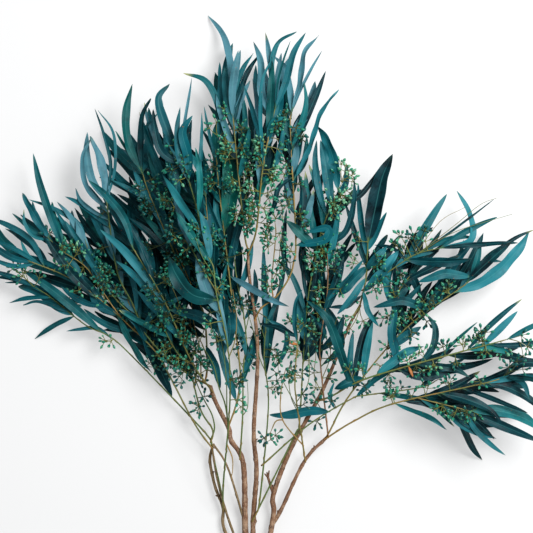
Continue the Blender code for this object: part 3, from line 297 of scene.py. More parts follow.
class Heap:
    """Collects many small shapes, with their values for the material, into one mesh."""

    def __init__(self):
        self.verts = []
        self.faces = []
        self.values = []
        self.places = []
        self.count = 0

    def add(self, verts, faces, values, places):
        self.faces += [tuple(v + self.count for v in face) for face in faces]
        self.verts.append(np.asarray(verts))
        self.values.append(np.broadcast_to(values, (len(verts), 4)))
        self.places.append(np.broadcast_to(places, (len(verts), 3)))
        self.count += len(verts)

    def finish(self, name, finish, node, slot):
        """Makes the piece: a smooth mesh with the colour 'tone' and the vector 'place' on its vertices."""
        mesh = bpy.data.meshes.new(name)
        mesh.from_pydata(np.concatenate(self.verts).tolist(), [], self.faces)
        tone = mesh.attributes.new("tone", "FLOAT_COLOR", "POINT")
        tone.data.foreach_set("color", np.concatenate(self.values).astype(np.float32).ravel())
        place = mesh.attributes.new("place", "FLOAT_VECTOR", "POINT")
        place.data.foreach_set("vector", np.concatenate(self.places).astype(np.float32).ravel())
        mesh.shade_smooth()
        mesh.set_sharp_from_angle(angle=math.radians(50))
        mesh.materials.append(finish)
        piece = bpy.data.objects.new(name, mesh)
        bpy.context.scene.collection.objects.link(piece)
        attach(piece, "root")
        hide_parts(node)


class Wire:
    """A value in a material, which Python's operators join into Math nodes."""

    def __init__(self, tree, socket):
        self.tree = tree
        self.socket = socket

    def node(self, kind, settings=None, **inputs):
        """Any node: its settings first, then what its sockets hold. Returns its outputs by name."""
        made = self.tree.nodes.new(kind)
        for key, value in (settings or {}).items():
            setattr(made, key, value)
        for key, value in inputs.items():
            numbered = key.startswith("in") and key[2:].isdigit()
            socket = made.inputs[int(key[2:]) if numbered else key.replace("_", " ")]
            if isinstance(value, Wire):
                self.tree.links.new(value.socket, socket)
            else:
                socket.default_value = value
        return {out.name: Wire(self.tree, out) for out in made.outputs}

    def maths(self, operation, *values):
        inputs = {f"in{k}": value for k, value in enumerate(values)}
        return self.node("ShaderNodeMath", {"operation": operation}, **inputs)["Value"]

    def __add__(self, other):
        return self.maths("ADD", self, other)

    def __radd__(self, other):
        return self.maths("ADD", other, self)

    def __sub__(self, other):
        return self.maths("SUBTRACT", self, other)

    def __rsub__(self, other):
        return self.maths("SUBTRACT", other, self)

    def __mul__(self, other):
        return self.maths("MULTIPLY", self, other)

    def __rmul__(self, other):
        return self.maths("MULTIPLY", other, self)

    def __truediv__(self, other):
        return self.maths("DIVIDE", self, other)

    def __pow__(self, other):
        return self.maths("POWER", self, other)

    def mixed(self, first, second):
        """The colour first where this value is 0 and second where it is 1."""
        inputs = {"in0": self, "in6": first, "in7": second}
        self.node("ShaderNodeMix", {"data_type": "RGBA", "clamp_factor": True}, **inputs)
        return Wire(self.tree, [out for out in self.tree.nodes[-1].outputs if out.type == "RGBA"][0])

    def between(self, low, high):
        """0 below low, 1 above high and a smooth step from one to the other."""
        inputs = {"Value": self, "From_Min": low, "From_Max": high}
        made = self.node("ShaderNodeMapRange", {"interpolation_type": "SMOOTHSTEP"}, **inputs)
        return made["Result"]

    def noise(self, where, scale, detail=3.0, rough=0.55):
        inputs = {"Vector": where, "Scale": scale, "Detail": detail, "Roughness": rough}
        return self.node("ShaderNodeTexNoise", None, **inputs)["Fac"]

    def bump(self, height, strength, distance):
        inputs = {"Height": height, "Strength": strength, "Distance": distance}
        return self.node("ShaderNodeBump", None, **inputs)["Normal"]


def new_finish(name):
    """A material with its Principled shader, and a wire to build on."""
    finish = bpy.data.materials.new(name)
    finish.use_nodes = True
    shader = finish.node_tree.nodes["Principled BSDF"]
    return finish, shader, Wire(finish.node_tree, None)


def plug_in(wire, shader, **sockets):
    for name, value in sockets.items():
        wire.tree.links.new(value.socket, shader.inputs[name.replace("_", " ")])


def bark_finish():
    finish, shader, wire = new_finish("bark")
    where = wire.node("ShaderNodeTexCoord")["Object"]
    place = wire.node("ShaderNodeAttribute", {"attribute_name": "place"})["Vector"]
    parts = wire.node("ShaderNodeSeparateXYZ", None, Vector=place)
    ring = parts["X"]
    tone = wire.node("ShaderNodeAttribute", {"attribute_name": "tone"})["Fac"]
    streaks = wire.node("ShaderNodeMapping", None, Vector=where, Scale=(1.0, 0.12, 1.0))["Vector"]
    grain = wire.noise(streaks, 620.0, 4.0)
    patches = wire.noise(where, 95.0, 4.0, 0.65)
    colour = (patches.between(0.44, 0.62) * 0.75).mixed(BARK_COLOUR, BARK_PALE)
    colour = (grain.between(0.48, 0.64) * 0.5).mixed(colour, BARK_DARK)
    colour = (ring * 0.85).mixed(colour, BARK_RING)
    colour = (tone.between(0.2, 0.9) * 0.8).mixed(colour, BARK_OLIVE)
    specks = wire.noise(where, 620.0, 2.0).between(0.58, 0.66)
    colour = (specks * 0.55).mixed(colour, BARK_SPECK)
    pits = wire.noise(where, 480.0, 3.0).between(0.58, 0.66)
    colour = (pits * 0.4 * (1 - specks)).mixed(colour, BARK_DARK)
    colour = parts["Y"].mixed(colour, CUT_WOOD)
    height = grain * 0.5 + patches * 0.3 - ring * 0.3
    bump = wire.bump(height, 0.5, 0.0006)
    plug_in(wire, shader, Base_Color=colour, Roughness=0.6 + grain * 0.2, Normal=bump)
    return finish


BARK_COLOUR = (0.168, 0.084, 0.043, 1)
BARK_PALE = (0.345, 0.232, 0.152, 1)
BARK_DARK = (0.045, 0.024, 0.016, 1)
BARK_RING = (0.045, 0.026, 0.018, 1)
BARK_OLIVE = (0.130, 0.110, 0.042, 1)
BARK_SPECK = (0.400, 0.290, 0.210, 1)
CUT_WOOD = (0.520, 0.380, 0.230, 1)
PRONG_TIPS = ((0.05, 7.9), (0.35, 8.1), (-0.25, 7.7))

bpy.ops.object.select_all(action="DESELECT")
grow_limbs()
stems = Heap()
for number, way in enumerate(ways):
    draw = random.Random(f"limb {number}")
    points = [seen_from_above(p.x, p.y, h) for p, h in zip(way.points, way.heights)]
    centres, length = even_steps(points, BARK_STEP)
    run = np.linspace(0, length, len(centres))
    stations, _ = travelled(points)
    base_radii = np.interp(run / length, stations, way.radii) * CM
    turn = 2 * math.pi * np.arange(BARK_SIDES) / BARK_SIDES
    radii = np.repeat(base_radii[:, None], BARK_SIDES, axis=1)
    marks = np.zeros_like(radii)
    place_of_ring = draw.uniform(0.01, RING_EVERY)
    side = draw.uniform(*ANY_TURN)
    while place_of_ring < length - LAST_RING:
        facing = np.maximum(np.cos(turn - side), 0) ** 2
        swell = np.exp(-((run - place_of_ring) / RING_SWELL) ** 2)
        scar = np.exp(-((run - place_of_ring - SCAR_AFTER) / SCAR_LENGTH) ** 2)
        radii *= 1 + swell[:, None] * (0.07 + draw.uniform(0.15, 0.4) * facing[None, :])
        marks += scar[:, None] * (0.35 + 0.65 * facing[None, :])
        if draw.random() < PRONG_CHANCE and number:
            at = min(int(place_of_ring / length * len(centres)), len(centres) - 2)
            ahead = (centres[at + 1] - centres[at]).normalized()
            out = (ahead.cross(Vector((0, 0, 1))) * math.cos(side) + Vector((0, 0, 1)) * abs(math.sin(side)))
            root = centres[at] + out * base_radii[at] * 0.5
            tip = root + (out + ahead * 0.8).normalized() * (base_radii[at] + draw.uniform(0.001, 0.003))
            tip.z = max(tip.z, 0.001)
            verts, faces = round_stem([root, root.lerp(tip, 0.8), tip], PRONG_RADII, 6)
            stems.add(verts, faces, (0.2, 0.2, 0.2, 1), (0.5, 0, 0))
        place_of_ring += RING_EVERY * draw.uniform(0.5, 1.5)
        side += math.pi + draw.uniform(-0.6, 0.6)
    radii *= 1 + 0.05 * np.sin(run * 300 + draw.uniform(0, 6))[:, None]
    radii *= np.array([[1 + draw.uniform(-0.04, 0.04) for _ in turn] for _ in run])
    verts, faces = round_stem(centres, radii, BARK_SIDES)
    verts[:, 2] = np.maximum(verts[:, 2], 0)
    olive = LIMB_OLIVE.get(number, 0.1) + 0.2 * draw.random()
    flat_marks = np.clip(marks, 0, 1).ravel()
    places = np.stack([flat_marks, np.zeros_like(flat_marks), np.zeros_like(flat_marks)], axis=1)
    stems.add(verts, faces, (olive, olive, olive, 1), places)
    if number == 0:
        ahead = (centres[1] - centres[0]).normalized()
        ends = [centres[0] - ahead * 0.0003, centres[0] + ahead * 0.0004]
        verts, faces = round_stem(ends, [base_radii[0] * 0.93] * 2, BARK_SIDES)
        verts[:, 2] = np.maximum(verts[:, 2], TWIG_OVER_FLOOR)
        stems.add(verts, faces, (0, 0, 0, 1), (0, 1, 0))
stub = ways[-1]
for tip in PRONG_TIPS:
    top = Vector((stub.points[-1].x, stub.points[-1].y))
    route = [seen_from_above(top.x, top.y, stub.heights[-1]), seen_from_above(*tip, stub.heights[-1] + 0.25)]
    centres, _ = even_steps(route, 0.001)
    radii = np.linspace(0.0014, 0.0008, len(centres))
    verts, faces = round_stem(centres, radii, 8)
    stems.add(verts, faces, (0.2, 0.2, 0.2, 1), (0.4, 0, 0))
stems.finish("stems_bark", bark_finish(), "woody_stems", "bark")

# Green twigs. Each leafy spray hangs on a thin young shoot that leaves a limb, olive to ochre,
# a little thicker at its joints. A twig rises out of its parent, and side twigs out of it.
TWIG_DIAMETERS = (0.24, 0.15)
SIDE_TWIG_DIAMETERS = (0.19, 0.13)
TWIG_SIDES = 3
TWIG_HIGHEST = 7.5
TWIG_BULGES = (0, 0.5, 1, -0.5, 1.5, 2, 2.6, 3.2, -1, 4, 5, 6)
TWIG_RISES = (0.07, 0.03, 0.11, 0.15, 0.2)
SEAT_SLIDES = (0, -0.7, 0.7, -1.4, 1.4, -2.1, -2.8, -3.5)
TWIG_STEP = 0.003
FIRST_JOINT = (0.01, 0.03)
JOINT_EVERY = 0.027
JOINT_LENGTH = 0.002
JOINT_KINK = 0.0006
SHOOT_END = (0.8, 0.6, 0.35)
SHOOT_SIDES = 8

# Each spray's twigs as plan routes; the first leaves a limb
TWIG_ROUTES = {
    "spray_far_left_low": (
        ((-6.9, 11.3), (-8.3, 13.4), (-10, 15.3), (-12.4, 17.8), (-14.8, 20.3), (-17.5, 23), (-20.5, 25.6),
         (-23.5, 27), (-25.5, 28.6), (-28, 30.6), (-30.2, 32)),
    ),
    "spray_far_left_mid": (
        ((-7.2, 11), (-9.4, 14.3), (-11.2, 17.7), (-13, 21.2), (-14.8, 24), (-17, 26.2), (-19.5, 28.5),
         (-22, 30.5), (-25, 32.8), (-28, 34.2), (-31, 35.4)),
        ((-17, 26.3), (-19.6, 28.9), (-21, 31), (-22.5, 33.3), (-24, 35), (-26.5, 36.6), (-28.3, 38.3)),
    ),
    "spray_left_tall": (
        ((-7.4, 19.1), (-9.6, 20.3), (-12.7, 22.5), (-14.3, 24), (-15.3, 25.3), (-16.2, 26.8), (-17.5, 30),
         (-19, 32.8), (-19.8, 36), (-20.3, 40), (-20.8, 43.5)),
        ((-16.6, 27.6), (-18.6, 29.4), (-20.8, 31.8), (-22.6, 34.8), (-23.6, 38.2)),
    ),
    "spray_left_inner": (
        ((-7.6, 20.3), (-7.7, 22), (-7.9, 26), (-8.2, 28.7), (-8.8, 30), (-9.5, 31), (-10.5, 33),
         (-12, 36.5), (-13.5, 40), (-15, 43.5), (-16.2, 47)),
        ((-8.3, 29), (-9.8, 32.6), (-11.6, 36.6), (-12.6, 40.6), (-12.4, 44.4)),
    ),
    "spray_left_mass": (
        ((-6.8, 19.2), (-8.4, 20.6), (-9.8, 22.4), (-10.8, 24.6), (-11.9, 27), (-13.4, 30.4),
         (-15.4, 33.8), (-17.6, 37.4)),
        ((-9.4, 21.8), (-11.6, 23.4), (-13.4, 26.6), (-14.8, 29.6)),
    ),
    "spray_left_upper": (
        ((-5.6, 3.6), (-5.6, 6.5), (-5.3, 9), (-5, 11.5), (-4.9, 13.6), (-4.75, 17), (-4.8, 20), (-5, 24),
         (-5.8, 28), (-6.5, 31), (-6.9, 34.5), (-7.8, 36.5), (-8.2, 38.2), (-9, 42), (-10.2, 46),
         (-11.4, 49)),
        ((-6.5, 31.4), (-8.5, 34.8), (-9.9, 37.4), (-11.2, 41), (-12.2, 44.6)),
    ),
    "spray_centre_left": (
        ((-4.8, 13.8), (-4, 16.5), (-3.5, 19), (-3.5, 22), (-3.8, 24), (-4.2, 27.5), (-4.7, 31),
         (-5.2, 35), (-5.6, 39), (-6, 43), (-6.4, 47), (-6.2, 51)),
        ((-4.3, 28), (-6, 31.6), (-7.2, 35.4), (-7.6, 39.6), (-7.9, 44)),
    ),
    "spray_inner_olive": (
        ((-3.2, 9.9), (-3.5, 12), (-3.3, 14), (-3.1, 15.2), (-3.2, 18), (-3, 21.5), (-2.6, 24.4),
         (-3, 28.6), (-3.8, 32.4), (-4.2, 36)),
    ),
    "spray_green_low": (
        ((-7, 11.9), (-7, 13.4), (-7.9, 14.9), (-8.7, 16.4), (-9.2, 18), (-9.6, 20.6), (-10.4, 23.6),
         (-11.8, 26.8), (-12.4, 30)),
    ),
    "spray_top_left": (
        ((-2.4, 36.7), (-2.9, 38.8), (-3, 40), (-3.2, 43), (-3.5, 45.5), (-3.6, 48), (-3.9, 50),
         (-3.9, 52), (-4.2, 54), (-4.6, 56.5)),
    ),
    "spray_top_middle": (
        ((-2.3, 36.9), (-1.8, 38.2), (-1.3, 39.5), (-1.1, 41), (-0.8, 44), (-0.4, 48), (0.3, 51),
         (0.9, 54), (1.3, 56)),
    ),
    "spray_top_right": (
        ((-1.5, 27.6), (-0.7, 29.2), (0.8, 30.3), (2, 31.6), (3, 33.3), (3.5, 35), (3.8, 38.5), (3.5, 41),
         (3.4, 43.5), (3.3, 46), (3.2, 49), (3.1, 52), (3.3, 55)),
        ((0.8, 30.4), (0.7, 33), (0.9, 36), (1.2, 38.6), (1.1, 40.4)),
    ),
    "spray_centre_right": (
        ((-1.3, 1.9), (0.4, 5.6), (1.5, 8), (2.7, 10.6), (3.7, 12.8), (4.3, 14.6), (4.5, 20), (4.7, 23),
         (4.9, 26), (5.2, 29), (5.8, 33), (6.6, 37), (7.4, 40), (8.6, 42.8), (9.8, 45.5)),
    ),
    "spray_centre": (
        ((-1.2, 2.2), (-0.85, 4.5), (-0.75, 6.5), (-0.5, 8.5), (-0.25, 10), (0.05, 13.5), (0.25, 16.5),
         (0.05, 18.8), (-0.2, 20.8), (-0.3, 22.6), (-0.2, 25), (0, 28)),
    ),
    "spray_crossing_low": (
        ((-0.35, 8.9), (0.5, 9.7), (2, 11.2), (3.5, 12.4), (5.4, 14), (7.5, 15.3), (9.3, 16.4), (11, 17.4),
         (13, 17.9), (17, 18.4), (20, 18.9), (22.4, 20)),
    ),
    "spray_e_buds": (
        ((4.95, 9.5), (4.75, 11.3), (4.6, 12.8), (4.2, 14.5), (3.9, 17), (3.7, 20), (3.9, 23), (4.1, 26)),
        ((4.75, 11.4), (3.4, 13), (2.1, 14.65), (1.9, 16), (1.85, 18), (2.2, 19.7), (2.5, 21.4)),
        ((2.1, 14.7), (1.2, 14.5), (0.7, 13.8), (0.5, 13)),
    ),
    "spray_fork_left": (
        ((8, 12.6), (7.6, 15), (7.35, 17.5), (7.2, 19), (7, 22), (7, 25), (7.4, 28), (7.9, 31.4),
         (8, 34.6), (7.9, 37)),
    ),
    "spray_right_low": (
        ((8.1, 12.5), (9.7, 13.6), (11.3, 14.5), (13.5, 15.5), (16.5, 16.8), (19.5, 17.6), (22.5, 18.2),
         (25.5, 18.8), (28.5, 19.5), (31, 20.4)),
        ((19.6, 17.7), (22, 16.7), (24.4, 16.2), (26.6, 15.8)),
    ),
    "spray_right_middle": (
        ((12.1, 29.4), (12.6, 31.2), (12.9, 33), (13.2, 36), (13.2, 38.4)),
        ((12.7, 31.6), (14.8, 33), (16.5, 34.2), (18, 35.4), (20, 36.4), (22.6, 37)),
    ),
    "spray_right_inner": (
        ((8.05, 12.8), (8.9, 14.3), (10, 16.3), (11, 18.2), (12.5, 20.2), (14, 22), (15.5, 23.8),
         (17, 25.5), (18, 26.5), (19.5, 27.6), (21.4, 29), (23, 30.3), (24.5, 31.2), (25.7, 32.2),
         (26.8, 33.6)),
        ((15.6, 24), (15.9, 26.4), (16.4, 29), (17.4, 31.8), (18.8, 33.6)),
    ),
    "spray_right_far": (
        ((6.6, 17), (8.5, 17.8), (10.5, 18.9), (12, 19.6), (14, 20.4), (16.5, 21.2), (19.6, 22.1),
         (22.6, 22.8), (26, 23.6), (29, 24.4), (31.5, 25.2)),
    ),
}


def grow_twig(node, plan, diameters):
    """A twig seated on the stem it leaves, or sunk into one of its own spray."""
    others = [solid for solid in placed if solid.node != node]
    for slide in SEAT_SLIDES:
        seat = (plan[0][0], plan[0][1] + slide)
        joint, parent = min(((way.nearest(*seat), way) for way in ways), key=lambda pair: pair[0][0])
        _, place, low, radius = joint
        if parent.node != node:
            low += (radius + diameters[0] / 2) * math.cos(math.pi / LIMB_SIDES) + SEAT_GAP / CM
        route = [place] + [Vector(p) for p in plan[1:]]
        _, length = travelled(route)
        for bulge in TWIG_BULGES:
            for rise in TWIG_RISES:
                high = min(low + length * rise, TWIG_HIGHEST)
                way = way_along(node, route, low, high, bulge, diameters)
                if is_clear(way.solid(TWIG_SIDES, CLEARANCE), others):
                    ways.append(way)
                    return way.solid(TWIG_SIDES)
    return None


def grow_twigs(name, plans):
    """The ways of one spray's twigs."""
    own_ways = []
    for k, plan in enumerate(plans):
        twig = grow_twig(name, plan, SIDE_TWIG_DIAMETERS if k else TWIG_DIAMETERS)
        if twig:
            own_ways.append(ways[-1])
            placed.append(twig)
    return own_ways


def twig_finish():
    finish, shader, wire = new_finish("green_twig")
    where = wire.node("ShaderNodeTexCoord")["Object"]
    tone = wire.node("ShaderNodeAttribute", {"attribute_name": "tone"})["Fac"]
    place = wire.node("ShaderNodeAttribute", {"attribute_name": "place"})["Vector"]
    joint = wire.node("ShaderNodeSeparateXYZ", None, Vector=place)["X"]
    patches = wire.noise(where, 45.0, 3.0)
    grain = wire.noise(where, 1200.0, 2.0)
    warm = (tone + patches * 0.5 - 0.25).between(0.35, 0.75)
    colour = warm.mixed(TWIG_GREEN, TWIG_OCHRE)
    colour = (tone.between(0.8, 0.95)).mixed(colour, TWIG_BROWN)
    colour = (joint * 0.7).mixed(colour, TWIG_ORANGE)
    colour = (grain.between(0.5, 0.8) * 0.35).mixed(colour, TWIG_DARK)
    bump = wire.bump(grain, 0.25, 0.0003)
    plug_in(wire, shader, Base_Color=colour, Roughness=0.48 + grain * 0.15, Normal=bump)
    return finish


TWIG_GREEN = (0.085, 0.130, 0.034, 1)
TWIG_OCHRE = (0.250, 0.160, 0.048, 1)
TWIG_BROWN = (0.190, 0.105, 0.060, 1)
TWIG_ORANGE = (0.360, 0.140, 0.040, 1)
TWIG_DARK = (0.014, 0.022, 0.012, 1)
# How warm each spray's twigs are: 0 green, 0.6 ochre, 1 brown
TWIG_WARMTH = {
    "spray_far_left_mid": 0.55, "spray_left_upper": 0.3, "spray_right_low": 0.6, "spray_right_middle": 0.45,
    "spray_right_inner": 0.5, "spray_right_far": 0.5, "spray_top_right": 0.55, "spray_left_mass": 0.45,
    "spray_left_inner": 0.55, "spray_fork_left": 0.85, "spray_e_buds": 0.6, "spray_centre_left": 0.6,
    "spray_top_left": 0.5, "spray_top_middle": 0.6, "spray_crossing_low": 0.4, "spray_centre": 0.3,
}

# Bare fine twigs: how far each rises, its radius, its warmth and its route from the nearest shoot
FINE_TWIGS = {
    "spray_right_middle": (
        (1.0, 0.00050, 0.5, ((19.3, 36.5), (24.5, 40), (27.7, 42.6), (29.9, 43.5))),
        (1.0, 0.00045, 0.5, ((18.9, 36.7), (22.5, 40.4), (25.8, 42.3))),
        (1.0, 0.00050, 0.5, ((19.7, 36.1), (24.5, 39.1), (31.9, 41.4))),
    ),
    "spray_green_low": (
        (0.2, 0.0010, 0.1, (
            (-6.9, 12.2), (-6.75, 13.6), (-7.1, 15.4), (-8.1, 17.3), (-9.2, 19.9), (-9.6, 22.4))),
        (0.1, 0.0010, 0.2, ((-6.95, 11.9), (-6.8, 9.6), (-6.1, 6.6), (-5.7, 4.8))),
        (0.5, 0.0008, 0.3, ((-9.6, 20.6), (-11.2, 23), (-12.6, 26), (-13.2, 28.6))),
        (0.6, 0.0008, 0.7, ((-9.2, 19.0), (-9.1, 22.6), (-9.6, 25.6), (-10.2, 29.4))),
    ),
    "spray_left_upper": (
        (0.1, 0.0010, 0.1, ((-4.9, 14.2), (-5.4, 16.8), (-6.2, 19), (-6.9, 21.8), (-8.4, 24.4))),
        (0.1, 0.0008, 0.2, ((-4.9, 13.8), (-5.15, 16.4), (-5.2, 19.6), (-5.6, 23.6), (-6.4, 27))),
        (0.2, 0.0009, 0.8, ((-4.95, 11.6), (-4.45, 9.8), (-4.4, 8.2), (-4.6, 7))),
        (0.3, 0.0007, 0.6, ((-4.9, 22.6), (-4.1, 25), (-3.9, 28), (-4.4, 31.6))),
        (0.1, 0.0007, 0.3, ((-6.5, 31), (-6.9, 33.4), (-8.4, 36), (-9.2, 38.4))),
    ),
    "spray_inner_olive": (
        (0.3, 0.0006, 0.2, ((-3.15, 15.2), (-2.5, 16.2), (-2.4, 17.8), (-2.5, 19.6))),
        (0.4, 0.0006, 0.3, ((-2.8, 26), (-2.2, 29), (-2.6, 31.8), (-3, 34))),
        (0.2, 0.0006, 0.2, ((-3, 21.4), (-3.8, 22.8), (-4.3, 23.6))),
    ),
    "spray_centre": (
        (0.2, 0.0006, 0.2, ((-0.1, 21), (-0.9, 22.8), (-1.7, 26.2), (-2.8, 29.8))),
        (0.3, 0.0006, 0.3, ((-0.2, 25), (-1.1, 28), (-2, 31), (-2.9, 32.8))),
    ),
    "spray_e_buds": (
        (0.3, 0.0006, 0.3, ((4.1, 15.6), (3.2, 17.6), (2.9, 20), (3.2, 22.4))),
        (0.3, 0.0006, 0.3, ((4.0, 17), (5.3, 19.2), (5.6, 21.8), (5.4, 24.4))),
        (0.3, 0.0006, 0.2, ((4.0, 16.2), (2.4, 19.2), (1.6, 20.8), (1.5, 22.4))),
    ),
    "spray_fork_left": (
        (0.3, 0.0006, 0.5, ((7.4, 17.6), (6.2, 20.4), (6.4, 23), (5.9, 25.4))),
        (0.3, 0.0006, 0.5, ((7.2, 20), (8.2, 22.6), (8.4, 25.4), (9.2, 28))),
    ),
    "spray_left_mass": (
        (0.3, 0.0008, 0.6, ((-8.4, 20.6), (-8.6, 23.8), (-9.4, 27), (-9.8, 30.4))),
        (0.4, 0.0007, 0.6, ((-10.8, 24.6), (-10.6, 27), (-11.6, 30.4), (-12.8, 33))),
        (0.3, 0.0007, 0.3, ((-9.8, 22.4), (-8.4, 25.6), (-7.4, 28.6), (-7.6, 32))),
    ),
    "spray_left_inner": (
        (0.4, 0.0007, 0.7, ((-7.8, 23), (-8.6, 25), (-10.2, 27.2), (-11.4, 29))),
        (0.5, 0.0007, 0.5, ((-8, 27), (-7.2, 29.6), (-7.6, 32.6), (-8.4, 35.4))),
    ),
    "spray_far_left_mid": (
        (0.2, 0.0007, 0.4, ((-14.8, 24), (-14.6, 26.2), (-15.9, 28.6), (-17.4, 31))),
        (0.2, 0.0007, 0.6, ((-17, 26.2), (-17.4, 28.4), (-18.4, 31.4), (-19, 33.6))),
    ),
}
# Scraps of dry leaf that are left on a shoot: where they sit, where they point
DRY_SCRAPS = {
    "spray_e_buds": (((3.9, 24.5), (2.9, 24.7)),),
    "spray_right_far": (((18.4, 21.7), (19.0, 20.3)),),
    "spray_left_mass": (((-14.2, 28.4), (-14.0, 29.2)),),
}

started = []
for name, plans in TWIG_ROUTES.items():
    started.append((name, grow_twigs(name, plans)))

shoot_finish = twig_finish()
for name, own_ways in started:
    shoots = Heap()
    for number, way in enumerate(own_ways):
        draw = random.Random(f"{name} shoot {number}")
        points = [seen_from_above(p.x, p.y, h) for p, h in zip(way.points, way.heights)]
        first = points[0].copy()
        first.z -= (way.radii[0] + 0.15) * CM
        start = points[0].lerp(points[1], 0.04)
        centres, length = even_steps([first, start] + points[1:], TWIG_STEP)
        run = np.linspace(0, length, len(centres))
        base_radii = np.interp(run / length, np.linspace(0, 1, len(way.radii)), way.radii) * CM
        joints = np.arange(draw.uniform(*FIRST_JOINT), length, JOINT_EVERY)
        swell = sum(np.exp(-((run - j) / JOINT_LENGTH) ** 2) for j in joints)
        radii = base_radii * (0.92 + 0.3 * swell)
        for knot in joints:
            centres[int(knot / length * len(centres))].x += draw.uniform(-JOINT_KINK, JOINT_KINK)
        radii[-3:] *= SHOOT_END
        verts, faces = round_stem(centres, radii, SHOOT_SIDES)
        verts[:, 2] = np.maximum(verts[:, 2], TWIG_OVER_FLOOR)
        fork = np.clip(swell * 0.35 + np.exp(-run / 0.01), 0, 1)
        places = np.stack([np.repeat(fork, SHOOT_SIDES)] + [np.zeros(len(verts))] * 2, axis=1)
        warmth = TWIG_WARMTH.get(name, 0.15) + draw.uniform(-0.08, 0.08)
        shoots.add(verts, faces, (warmth, warmth, warmth, 1), places)
    for rise, thick, warmth, route in FINE_TWIGS.get(name, ()):
        _, place, height, _ = closest_joint(own_ways, route[0])
        spots = smooth_route([place] + [Vector(p) for p in route[1:]], 4)
        rises = height + rise * np.linspace(0, 1, len(spots)) ** 0.6
        centres, length = even_steps([seen_from_above(p.x, p.y, h) for p, h in zip(spots, rises)], TWIG_STEP)
        verts, faces = round_stem(centres, np.linspace(thick, thick * 0.5, len(centres)), 6)
        shoots.add(verts, faces, (warmth, warmth, warmth, 1), (0, 0, 0))
    for base, tip in DRY_SCRAPS.get(name, ()):
        _, place, height, _ = closest_joint(own_ways, base)
        ends = [seen_from_above(place.x, place.y, height), seen_from_above(*tip, height + 0.4)]
        middle = ends[0].lerp(ends[1], 0.5) + Vector((0, 0, 0.001))
        centres, _ = even_steps([ends[0], middle, ends[1]], 0.001)
        widths = 0.0004 + 0.0016 * np.sin(np.linspace(0.1, 3.0, len(centres)))
        verts, faces = round_stem(centres, widths, 6)
        shoots.add(verts, faces, (0.6, 0.6, 0.6, 1), (1.4, 0, 0))
    shoots.finish(name + "_twigs", shoot_finish, name, "foliage")

# Leaves. Long narrow willow-like blades, leathery, dyed teal, each on a short stalk sunk in its twig.
# One flat blade is modelled as a grid with a skin on both sides, then each copy is bent along its own
# way, folded at the midrib, waved at its edges and twisted.
BLADE_THICKNESS = 0.0007
ROOT_REACH = 0.0025
ROOT_WIDTH = 0.0010
ROOT_THICKNESS = 0.0009
TIP_WIDTH = 0.0010
LONG_BLADE = ((0.2, 0.7), (0.45, 1.0), (0.75, 0.65), (1.0, 0.0))
BLADE = ((0.36, 1.0), (0.72, 0.68), (1.0, 0.0))
SHORT_BLADE = ((0.5, 1.0), (1.0, 0.0))
LONG_BLADE_LENGTH = 14.0
SHORT_BLADE_LENGTH = 6.0
LEAF_TRIES = 150
LEAF_TILTS = (5, 27)
LEAF_ARCH = (0.06, -0.03)
UPPER_ARCH = (0.42, 0.10)
LEAF_ROLL = 0.6
LEAF_TWIST = 0.4
LEAF_LOWEST = (0.1, 0.05)
LEAF_OVER_SURFACE = 0.005
RULED_BUILT_EVERY = 4
ROW_START = 0.45
ROW_SHARE = 0.53
ROW_PLAY = 0.3
ROW_ENDS = (0.3, 0.99)
ROW_LEAST_SPREAD = 0.15
ROW_SWEEP = 16
ROW_WIDTHS = (0.7, 1.2)
# More leaves for each row of a spray that is dense in its middle
FILLING = {
    "spray_left_mass": 8, "spray_left_inner": 5, "spray_left_upper": 5, "spray_left_tall": 4,
    "spray_top_left": 5, "spray_top_middle": 7, "spray_top_right": 7, "spray_centre_right": 7,
    "spray_centre_left": 4, "spray_right_inner": 3, "spray_right_middle": 3, "spray_far_left_mid": 3,
}
INNER_ROWS = {
    "spray_left_mass": ((0, 0, 150, 40, 6.0, 10.0), (1, 0, 95, 40, 6.0, 9.0)),
    "spray_left_inner": ((0, 0, 100, 50, 6.0, 9.0),),
    "spray_centre_left": ((0, 0, 110, 50, 6.0, 9.0),),
    "spray_left_upper": ((0, 0, 100, 45, 6.0, 9.5),),
}
# Leaves under the rest, darkened with painted shade: twig, count, heading, its spread, and the part of the
# twig they sit on
UNDER_LEAVES = {
    "spray_left_mass": ((0, 22, 128, 34, 0.25, 1.0), (1, 12, 130, 34, 0.1, 1.0)),
    "spray_left_inner": ((0, 22, 118, 34, 0.2, 0.9), (1, 12, 114, 30, 0.05, 0.8)),
    "spray_left_upper": ((0, 22, 116, 30, 0.5, 0.95), (1, 12, 120, 30, 0.1, 0.8)),
    "spray_left_tall": ((0, 16, 126, 30, 0.2, 0.8),),
    "spray_centre_left": ((0, 16, 104, 30, 0.35, 0.9), (1, 10, 112, 26, 0.05, 0.8)),
    "spray_green_low": ((0, 10, 126, 34, 0.45, 1.0),),
    "spray_far_left_mid": ((0, 12, 142, 24, 0.3, 0.85), (1, 6, 130, 24, 0.1, 0.8)),
    "spray_top_left": ((0, 6, 96, 22, 0.2, 0.8),),
    "spray_top_middle": ((0, 6, 88, 22, 0.3, 0.8),),
    "spray_top_right": ((0, 6, 84, 24, 0.5, 0.85),),
    "spray_right_inner": ((0, 9, 50, 26, 0.5, 0.95),),
    "spray_right_low": ((0, 9, 4, 26, 0.5, 0.95), (1, 5, -20, 22, 0.3, 0.9)),
    "spray_right_far": ((0, 8, 12, 26, 0.4, 0.95),),
    "spray_centre_right": ((0, 12, 80, 26, 0.5, 0.95),),
    "spray_fork_left": ((0, 7, 80, 26, 0.4, 0.9),),
    "spray_centre": ((0, 5, 92, 20, 0.6, 0.9),),
}
UNDER_LENGTH = (6.0, 10.5)
UNDER_WIDTH = (0.8, 1.4)
UNDER_HEIGHT = (0.3, 1.2)
